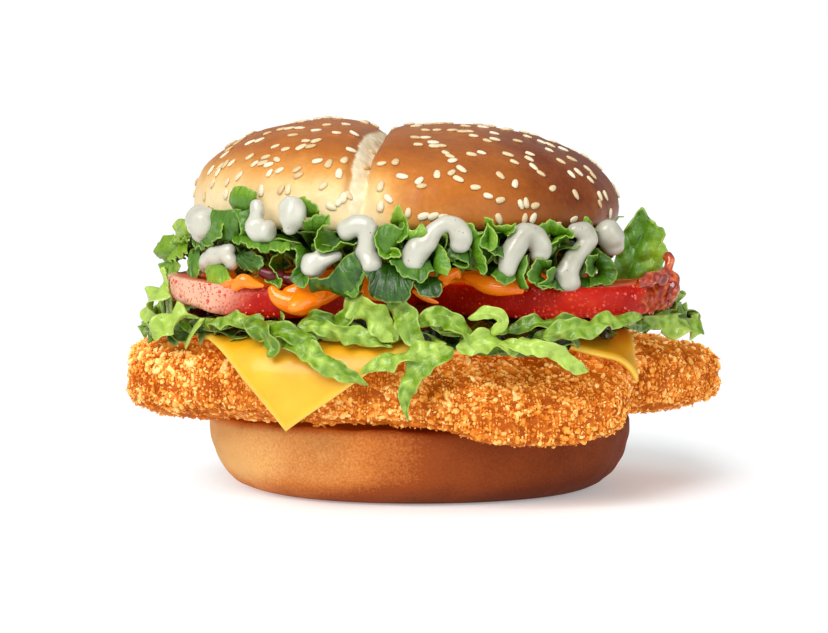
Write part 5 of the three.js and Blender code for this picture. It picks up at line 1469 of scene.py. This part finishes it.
     [(33.6, 59.9, 63), (32.9, 58.8, 62), (32.4, 57.3, 62), (31.2, 56.6, 62), (32.7, 56.1, 62)]),
    (0.4, 0.4, [(26.5, 63.9, 65), (26.2, 61.2, 65.6), (25.7, 58.3, 66), (26.5, 55.6, 66)],
     [(24.3, 62.1, 62), (23.9, 60.1, 62), (23.6, 57.9, 62), (24.6, 55.7, 63)]),
    (0.35, 0.6, [(17.6, 59.4, 65), (18.5, 57.7, 66), (21, 57, 66.3), (23.5, 57.6, 66)],
     [(18.6, 60.6, 61), (20.6, 59.6, 61), (23.1, 59.5, 61)]),
    (0.42, 0.5, [(44, 64.9, 61), (46.3, 63.2, 63.6), (48.5, 61.4, 66), (49.3, 58.6, 66.3),
      (48.5, 56.1, 66.2), (45.6, 55.8, 66), (42.2, 55.7, 65.6)],
     [(42.5, 63.6, 60), (43.1, 62, 60.5), (44.1, 60.2, 61), (44.7, 58.7, 61), (44.1, 57.7, 61),
      (42, 57.3, 61)]),
    (0.3, 0.5, [(44.3, 63.6, 65.4), (42.2, 63.2, 66), (40.9, 61.3, 66.2), (41.7, 59, 66.3),
      (43.2, 58.2, 66.3), (44.3, 59.6, 66.2)],
     [(43.5, 61.8, 62), (42.8, 61.3, 61.4), (42.5, 60.3, 61.2), (43, 59.6, 61.4), (43.8, 59.8, 62)]),
    (0.6, 0.4, [(40.7, 70.9, 57), (41.4, 72.6, 58), (43, 71.4, 58.6), (44.1, 69.3, 58.4)],
     [(41.5, 69.3, 57), (42.6, 68.8, 57), (43.9, 68.2, 57)]),
    (0.2, 0.8, [(33.6, 55, 64.5), (36.1, 55.2, 65), (40.2, 54.7, 65), (44.9, 55.2, 64.6)],
     [(33.8, 58.1, 60), (36.9, 58, 60), (40.5, 57.3, 60), (44.7, 57.1, 60)]),
]
LEFT_LIMIT, TOP_LIMIT = -50, 74
placed_front, placed_back = [], []
for index, leaf in enumerate(LEAVES):
    placed_front.append(placed_leaf(*leaf, 400 + index))
    margin_x, margin_z, _ = np.transpose(leaf[2])
    if margin_x.min() > LEFT_LIMIT and margin_z.max() < TOP_LIMIT:
        behind = placed_leaf(*leaf, 500 + index)
        placed_back.append(behind._replace(points=behind.points * [-1, -1, 1]))

# %% [markdown]
# One leaf stands on edge at the right, as a sheet between a short foot and a jagged crest. A flat heart
# closes the salad in the middle, where the leaves grow out of it. It is painted the darkest green, a painted
# shade between the leaves.


# %% Standing leaf
CREST = [  # x and z
    (49.4, 58.4), (50.7, 63), (52.4, 67.9), (54.5, 71), (57, 74.1), (58.6, 71.8), (60.7, 69.7),
    (62.9, 67.9), (62.1, 65.6), (63.4, 63.3), (62.8, 61.2), (62, 59.4), (62.9, 57.1), (62.5, 54.3),
]
FOOT = [(50.7, 52.5), (52.5, 52.0), (54.6, 51.7), (56.6, 51.7), (58.7, 51.7), (60.5, 52.0)]


def standing_leaf(columns=110, rows=36):
    """A leaf on edge: a ruled surface from foot to jagged crest, bent along a crease and waved by sines."""
    u, v = np.linspace(0, 1, columns), shares(rows)
    crest, foot = (line_through(edge, columns) for edge in (CREST, FOOT))
    jag = 1 + 0.02 * np.sin(90 * u) * smooth(u, 0.3, 0.5)
    x = mix(foot[:, 0], 56 + (crest[:, 0] - 56) * jag, v)
    z = mix(foot[:, 1], 60 + (crest[:, 1] - 60) * jag, v)
    crease = x - 56.5 - 0.35 * (z - 62)
    y = -20.5 - 2.6 * smooth(crease, -1.5, 1.0) + 0.35 * np.maximum(crease, 0)
    y = y - 0.9 * np.sin(9 * u + 2 * v) * v + 0.5 * relief(np.stack([x, 0 * x, z], -1), 4, 92)
    ribs = np.maximum(bell(crease, 0.4), 0.4 * bell(np.sin(13 * u + 1.5 * v), 0.2))
    tone = 0.42 + 0.34 * smooth(crease, -1, 3) + 0 * v
    edge = 1 - smooth((1 - v) * 12 + 0 * u, 0.1, 0.8)
    return sheet(np.stack([x, y, z], -1), 0.5, vein=ribs, tone=tone, edge=edge)


def heart_surface(sides, rows):
    """The salad's heart, which the leaves grow out of: a flat round cake with a soft, wavy rim."""
    angle = azimuths(sides)
    across, up = squarish(np.pi * (0.5 - shares(rows)), 0.35, 0.5)
    reach = 49 * (1 + 0.05 * wobble(angle, 0.8)) * across
    return polar(reach, angle, mix(58.8, 69.0, 0.5 + up / 2))


heart_points = heart_surface(sides=200, rows=40)
heart_points = raised(heart_points, 0.8 * relief(heart_points, 5, 91))
plain = np.zeros(heart_points.shape[:2])
# The heart gets tone 0, the darkest green: a painted shade.
shaded_heart = rings(heart_points, vein=plain, tone=plain, edge=plain)
frilly_greens = [(8, 24, 2), (38, 84, 8), (88, 138, 16), (156, 190, 40)]
frill = leaf_finish("frilly_leaf", frilly_greens, (172, 206, 88), 0.22, 0.18, 0.12, 0.6)
make_piece("frilly_front", joined(placed_front), frill, ["frilly_lettuce"])
make_piece("frilly_inner", joined(front_rows + [shaded_heart]), frill)
make_piece("frilly_back", joined(placed_back), frill)
make_piece("frilly_back_inner", joined(back_rows), frill)
make_piece("standing_leaf", standing_leaf(), frill)

# %% [markdown]
# ## The top bun
# The top bun has split along a crease into two lobes. Its crust goes from cream at the rim to orange-brown
# on top, and the crease is torn, so pale soft crumb shows between two browned lips. The left lobe is
# painted paler and the crust browner towards the right, partly as baking and partly as painted light and
# shade. Rings of points are centred on the crease and crowd towards it, which gives the tear the closest
# grid. The torn band is set by the distance from the crease line, with a ragged edge.

# %% Top bun
crease_azimuth = math.atan2(1, CREASE["lean"])


def crease_side(x, y):
    """Signed distance from the crease line, seen from above: negative on the left lobe."""
    return (x - CREASE["x"] - CREASE["lean"] * y) * math.sin(crease_azimuth)


def crown_surface(sides, rows):
    """Spokes from the crease's middle to the round rim, lifted to a superellipse dome over a round edge."""
    turned, v = azimuths(sides), shares(rows)
    dome_end, edge_end = 0.8, 0.9
    angle = turned + crease_azimuth - 0.38 * np.sin(2 * turned)
    to_crease = CREASE["x"] - CROWN["x"]
    across = to_crease * np.cos(angle)
    rim = CROWN["radius"] * (1 + 0.006 * wobble(angle, 2.6))
    spoke = np.sqrt(across**2 - to_crease**2 + rim**2) - across
    rise = np.clip(v / dome_end, 0, 1) * np.pi / 2
    bend = np.clip((v - dome_end) / (edge_end - dome_end), 0, 1) * np.pi / 2
    out = np.select(
        [v <= dome_end, v <= edge_end],
        [spoke * np.sin(rise) ** 0.95, spoke - CROWN["edge"] * (1 - np.cos(bend))],
        (spoke - CROWN["edge"]) * (1 - v) / (1 - edge_end),
    )
    x, y = CREASE["x"] + out * np.cos(angle), out * np.sin(angle)
    left = smooth(CREASE["x"] - x, -12, 18)
    power = mix(2.2, 2.55, left)
    share = np.minimum(np.hypot(x - CROWN["x"], y) / rim, 1)
    dome = CROWN["edge"] + mix(CROWN["right"], CROWN["left"], left) * (1 - share**power) ** (1 / power)
    parts = [v <= dome_end, v <= edge_end]
    z = np.select(parts, [dome, CROWN["edge"] - CROWN["edge"] * np.sin(bend)], 0)
    return np.stack([x, y, CROWN["bottom"] + z], -1), np.select(parts, [1, np.cos(bend)], 0)


crown_points, soft = crown_surface(sides=600, rows=136)
side = crease_side(crown_points[..., 0], crown_points[..., 1])
height_share = smooth(crown_points[..., 2], 71, 88)
rough_side = side + 0.3 * relief(crown_points, 5, 11) + 0.1 * relief(crown_points, 1.6, 12)
half_width = np.where(side < 0, CREASE["left"], CREASE["right"])
cut = CREASE["depth"] * np.exp(-np.abs((side + 0.25 * relief(crown_points, 5, 11)) / half_width) ** 1.5)
cut = cut * mix(0.45, 1, height_share) + 1.3 * bell(side, 15)
torn = smooth(mix(1.5, 1.9, height_share) - np.abs(rough_side + 1.9), -0.35, 0.35)
fibres = 0.03 * relief(crown_points * [1, 1, 2.2], 1.5, 13) + 0.12 * relief(crown_points, 4, 14)
heart_of_bun = np.array([CROWN["x"], 0, CROWN["bottom"] - 12])
inward = unit(heart_of_bun - crown_points)
crown_points = crown_points + inward * (soft * (cut + torn * fibres))[..., None]
dimples = 0.22 * relief(crown_points, 15, 15) + 0.07 * relief(crown_points, 4.5, 16)
crown_points = raised(crown_points, dimples * soft)
crown_normals = grid_normals(crown_points)
crown_x, crown_z = crown_points[..., 0], crown_points[..., 2]
lips = bell(rough_side + 4.6, 1.0) * smooth(crown_z, 72, 80)
right_lobe = smooth(side, -1, 5)
# Left lobe paler, right lobe browner towards the right: partly baking, partly painted light and shade.
left_bake = 0.03 + 0.66 * smooth(crown_z, 75, 92)
right_bake = 0.64 + 0.1 * smooth(crown_z, 72, 90) + 0.3 * smooth(crown_x, 2, 46)
bake = mix(left_bake, right_bake, right_lobe)
bake = bake - 0.1 * smooth(-crown_z, -78, -71.5) * right_lobe * smooth(-crown_x, -50, -30)
bake = bake - 0.5 * bell(side - 2, 8) * smooth(-crown_z, -90, -78) * right_lobe
print("widest tear, mm:", round(float(side[torn > 0.5].max() - side[torn > 0.5].min()), 1))

# %% Top bun's finish
glaze = dict(Specular_IOR_Level=0.2, Coat_Weight=0.06, Coat_Roughness=0.25)
crust = Finish("bun_crust", (3, 1.5, 0.7), Subsurface_Weight=0.05, **glaze)
browned_and_shaded = crust.painted("bake") + (crust.grain(11, 3) - 0.5) * 0.36 + (crust.grain(1.2, 2) - 0.5) * 0.14
browns = [
    (0.0, (252, 230, 184)),
    (0.2, (246, 204, 138)),
    (0.42, (222, 156, 76)),
    (0.62, (190, 110, 38)),
    (1.0, (116, 50, 14)),
]
shell = crust.blend(crust.painted("lips") * 0.45, crust.ramp(browned_and_shaded, browns), colour(150, 84, 34))
crumb = crust.ramp(crust.grain(2.4, 3), [(0.3, (224, 212, 170)), (0.6, (244, 236, 206))])
crust.feed(
    Base_Color=crust.blend(crust.painted("torn"), shell, crumb),
    Roughness=0.38 + crust.painted("torn") * 0.4,
)
crust.bump(crust.grain(1.0, 3) * 0.7 + crust.cells(2.2) * 0.3, 0.3, 0.3)
crown = rings(crown_points, bake=bake, torn=torn, lips=lips)
make_piece("bun_crown", crown, crust.material, ["crown"])

# %% [markdown]
# ## Sesame seeds
# A sesame seed is a flat drop, blunt at one end and pointed at the other, about three millimetres long.
# Seeds fall in loose clusters and lie flat on the crust, each turned its own way. One small drop is copied
# to every place, with its axes set by the crust's normal there. The seeds that face the camera are placed
# one by one: each goes to the point of the crust that lies nearest to its line of sight. The rest are drawn
# at random.


# %% Sesame seeds
def seed_drop(sides=8, rows=6):
    """A drop along X: its width is the sine of the way along it, pulled in towards the pointed end."""
    v = shares(rows)
    girth = np.sin(np.pi * v) ** 0.75 * (1 - 0.38 * v)
    return rings(polar(girth * 0.5, azimuths(sides), -0.5 * np.cos(np.pi * v))[..., [2, 0, 1]])


SPRINKLED = 210
SEED = dict(length=2.95, width=2.2, thickness=1.0, apart=2.5, raised=0.22)
FRONT_SEEDS = [  # x and z where the line of sight crosses the middle plane, and the seed's angle
    (-40.1, 92.5, 25), (-42, 90.6, 30), (-44.6, 90.1, 20), (-47.2, 90.6, 35), (-49.9, 88.3, 40),
    (-47.8, 89.9, 35), (-51.2, 87, 45), (-36.2, 93.5, 15), (-34.1, 93.8, 12), (-31.5, 93.8, 10),
    (-33.3, 92, 15), (-27.3, 93.3, 20), (-24.4, 94.6, -15), (-19.4, 94.8, 20), (-29.9, 90.4, -40),
    (-27.3, 90.6, 50), (-31, 88.8, 35), (-28.6, 89.1, -10), (-37.8, 89.1, 5), (-35.4, 88.3, -10),
    (-44.4, 86.4, 70), (-40.4, 86.4, 5), (-37.5, 85.7, -50), (-43.1, 84.6, 30), (-39.6, 84.4, -10),
    (-41.2, 84.9, -30), (-39.4, 82.3, 75), (-36.8, 83, 15), (-32.3, 83.3, 40), (-31.8, 81.7, 25),
    (-26.8, 85.4, 5), (-52.2, 83.8, 70), (-50.9, 84.4, 70), (-49.4, 84.6, 45), (-53, 82.3, 60),
    (-54.6, 82.8, 65), (-47.3, 81.2, 55), (-54.4, 79.4, 60), (-50.4, 79.9, 50), (-56.5, 76, 85),
    (-50.7, 76.5, 80), (-41.8, 77.5, 80), (-36.5, 77.8, 55), (-34.7, 77.8, 85), (-25.5, 78.6, 40),
    (-23.9, 84.6, 80), (-21.8, 92.5, -10), (-17.3, 92.5, -50), (-20, 85.4, 60), (-18.1, 88, 10),
    (-21.3, 82, 80), (-18.7, 76.2, -60), (-21.3, 74.4, 50), (-20.2, 75.7, 70), (-23.4, 73.1, -20),
    (-12.4, 87.5, 10), (-10, 84.6, 8), (-6.6, 84.9, 70), (-4.7, 81.2, -30), (-0, 80.2, 50),
    (0.5, 78.6, 12), (4.2, 81.7, 85), (-10.5, 78.6, 80), (-8.2, 75.4, -50), (-10.3, 73.6, 80),
      (1, 70.7, 20),
    (3.7, 71, 25), (-1.1, 91.4, -20), (-0.6, 89.6, -15), (1.5, 91.2, 15), (3.4, 90.1, -20),
      (3.9, 89.1, -20),
    (1.5, 93.3, -10), (4.4, 93.3, 0), (8.4, 93.3, 10), (11, 93, 0), (12.8, 93, 20), (12, 94.3, 0),
    (14.1, 91.7, -20), (16.5, 94, 0), (19.4, 92.5, -8), (17.5, 90.6, 5), (19.4, 90.9, 15), (22.3, 93.5, -5),
    (25.7, 90.4, 10), (28, 91.7, -30), (5.7, 89.1, -35), (6.8, 87.2, -60), (7.6, 86.4, -40),
      (8.6, 85.4, 60),
    (8.4, 82.3, 60), (9.9, 80.4, -40), (11, 83.3, -70), (13.4, 87, -5), (16, 87.2, -10),
    (22.8, 87, -15), (24.9, 84.9, -10), (28.8, 87.2, 0), (28.6, 85.7, -50), (29.6, 83.6, -80),
    (31.7, 82, -25), (20.7, 81.5, -60), (24.9, 79.6, 60), (14.7, 78.3, 20), (17.6, 76.2, 0),
    (20.7, 75.2, 25), (34.4, 78.1, 40), (26.5, 74.1, -80), (28.1, 74.4, 85), (30.2, 73.6, 20),
    (27.3, 70.2, 70), (29.7, 70.4, 60), (21, 70.4, -70), (40.4, 70.2, 0), (36.2, 68.9, -10),
    (34.1, 89.3, -30), (33.8, 88, -35), (37.5, 88.3, -5), (36.7, 85.1, -35), (39.6, 82, -75),
    (41.2, 82.3, -60), (40.9, 76.7, -60), (39.9, 85.7, -40), (43.8, 83, -45), (45.1, 81.5, -50),
    (47.2, 76.2, -60), (48.5, 76.2, -65), (47.2, 73.9, -50), (49.6, 71.5, -80), (6.5, 70.4, 0),
    (-3.2, 71.8, 80), (-14.2, 83.6, 20), (44.6, 80.2, -50), (31.7, 90.1, -20),
]
random = np.random.default_rng(7)
crust_points, crust_normals = crown_points.reshape(-1, 3), crown_normals.reshape(-1, 3)
eye = np.array(EYE)
sight = crust_points - eye
in_picture = eye + sight * (-eye[1] / sight[:, 1])[:, None]
faces_eye = (crust_normals * unit(sight)).sum(-1) < -0.02
asked = np.array(FRONT_SEEDS)
gap = np.linalg.norm(in_picture[None][..., [0, 2]] - asked[:, None, :2], axis=-1)
front_spots = np.argmin(np.where(faces_eye[None], gap, np.inf), axis=1)
clump = smooth(relief(crown_points, 17, 8).ravel(), -0.9, 0.9) + 0.12
hidden = ~faces_eye & (soft.repeat(crown_points.shape[1], 1).ravel() > 0.9)
on_lobes = smooth(crust_points[:, 2], 70.5, 73) * (np.abs(side.ravel() + 1.6) > 4.2)
wanted = cell_areas(crown_points).ravel() * clump * on_lobes * hidden
back_spots = []
for candidate in random.choice(wanted.size, 3000, p=wanted / wanted.sum()):
    near = np.linalg.norm(crust_points[back_spots + list(front_spots)] - crust_points[candidate], axis=-1)
    if len(back_spots) < SPRINKLED and near.min() > SEED["apart"]:
        back_spots.append(candidate)
spots = np.array(list(front_spots) + back_spots)
seed_up = crust_normals[spots]
lie = np.concatenate([np.radians(asked[:, 2]), random.uniform(0, TAU, len(back_spots))])
wished = np.stack([np.cos(lie), 0.15 * random.normal(size=len(lie)), np.sin(lie)], -1)
seed_forward = unit(wished - (wished * seed_up).sum(-1, keepdims=True) * seed_up)
seed_side = np.cross(seed_up, seed_forward)
seed_size = random.uniform(0.85, 1.12, (len(spots), 1))
seed_length, seed_width = seed_forward * SEED["length"] * seed_size, seed_side * SEED["width"] * seed_size
seed_axes = np.stack([seed_length, seed_width, seed_up * SEED["thickness"]], axis=1)
seed_places = crust_points[spots] + SEED["raised"] * seed_up
seeds = copies(seed_drop(), seed_places, seed_axes, tone=random.random(len(spots)))
sesame = Finish("sesame", (1.2, 0.9, 0.5), Roughness=0.42, Specular_IOR_Level=0.45, Subsurface_Weight=0.15)
creams = [(0.0, (214, 186, 134)), (0.4, (236, 216, 176)), (1.0, (248, 238, 212))]
speckled = sesame.painted("tone") + (sesame.grain(1.5, 2) - 0.5) * 0.5
sesame.feed(Base_Color=sesame.ramp(speckled, creams))
make_piece("sesame_seeds", seeds, sesame.material)

# %% [markdown]
# ## White dollops
# The white sauce is thick and was squeezed on the leaves in short bends that end in round drops. Each
# dollop is one or two ropes that flow together, like the drips of orange sauce.

# %% White dollops
DOLLOP_REACH = 63.2
DOLLOPS = [  # side, then one or two ropes of stations of x, z and radius
    (-1, [(-56.2, 71.4, 3.8), (-54.8, 70, 4.1), (-55.3, 67.8, 3)]),
    (-1, [(-40.7, 76.3, 1.6), (-40.7, 73.6, 1.9), (-41.2, 70.6, 2.5), (-40.2, 69.1, 2.9),
      (-38.2, 69.4, 2.9)]),
    (-1, [(-32.8, 76, 2.6), (-31.5, 74.6, 3.4), (-31.8, 72.4, 3.3), (-32.3, 70.1, 2)]),
    (-1, [(-54.4, 59.2, 2), (-53.5, 60.8, 2.6), (-51.1, 62.5, 2.9), (-48.9, 63.4, 2.3), (-47.6, 64.5, 1.5)],
     [(-48.9, 62.6, 2), (-47.6, 61.2, 1.9), (-47.8, 60, 1.4)]),
    (-1, [(-26.8, 60.7, 3.2), (-26, 62.1, 3.2), (-25, 63.8, 2), (-24.8, 64.8, 1.2)],
     [(-25.3, 61.9, 2.4), (-22.8, 62.9, 1.7), (-20.1, 63.7, 1.1)]),
    (-1, [(-18.3, 69.9, 2.8), (-15.9, 71.2, 2.7), (-13.1, 70.9, 2.8), (-13.1, 67.7, 2.4),
      (-13.4, 64.3, 2.6),
          (-12.2, 61.8, 3.1)]),
    (-1, [(-2.1, 62.2, 2.9), (-1.1, 64.9, 3.4), (1.6, 67.8, 2.8), (4, 70.5, 2.1), (6.2, 72, 1.9),
      (8.7, 71, 2.5),
          (9.9, 68.7, 3), (9.7, 66.5, 2.5)]),
    (-1, [(21.3, 60.2, 2.3), (22.1, 63.4, 2.9), (23.8, 66.6, 3), (25.8, 69.3, 2.6), (28.3, 68.2, 2.8),
      (29.8, 65.4, 2.9),
          (29.3, 63.5, 2.3)]),
    (-1, [(36.7, 56.5, 3.2), (36.7, 59.3, 2.9), (38, 62.2, 2.5), (40.5, 64.8, 2.5), (41.8, 67.3, 2.6),
      (40.5, 69.3, 2.5),
          (38.2, 69.7, 1.8)], [(35.4, 58.6, 2.2), (36.4, 61, 2.2)]),
    (-1, [(46.8, 69, 3.3), (47.9, 67.2, 3.5), (48.5, 65.2, 3)]),
    (1, [(38.5, 66.8, 2.7), (41.5, 62.6, 2.3), (44.2, 58.6, 3)]),
    (1, [(8.5, 67.6, 3), (4.6, 63.8, 2.4), (1.8, 59.2, 3.1)]),
    (1, [(-27, 67, 2.8), (-30.5, 62.4, 3.5)]),
    (1, [(-53, 67.6, 2.5), (-55.5, 63.2, 2.3), (-57.5, 59.2, 3)]),
]

glossy = dict(Roughness=0.32, Specular_IOR_Level=0.6, Coat_Weight=0.6, Coat_Roughness=0.2)
cream = Finish("white_sauce", (3, 2.5, 2), Subsurface_Weight=0.15, **glossy)
pepper = cream.step(cream.cells(2.6), 0.1, 0.05)
# The sauce is painted greyer towards the right: a painted shade, over its clouds.
tone_mix = cream.grain(6, 2) * 0.6 + 0.5 - cream.step(cream.millimetres("X"), -60, 60) * 0.35
cloudy_and_shaded = cream.ramp(tone_mix, [(0.3, (168, 165, 146)), (0.8, (212, 211, 196))])
cream.feed(Base_Color=cream.blend(pepper * 0.8, cloudy_and_shaded, colour(120, 92, 70)))
cream.bump(cream.grain(2.2, 2), 0.3, 0.2)

for index, (facing, *ropes) in enumerate(DOLLOPS):
    skins = []
    for stations in ropes:
        x, z, radius = np.transpose(stations)
        surface = rope(np.stack([x, facing * np.sqrt(DOLLOP_REACH**2 - x**2), z, radius], -1))
        skins.append(rings(raised(surface, 0.2 * relief(surface, 4.5, 95 + index))))
    node = f"white_sauce_{index + 1:02d}"
    piece = make_piece(f"dollop_{index + 1:02d}", joined(skins), cream.material, [node])
    flow_together(piece, 0.36)
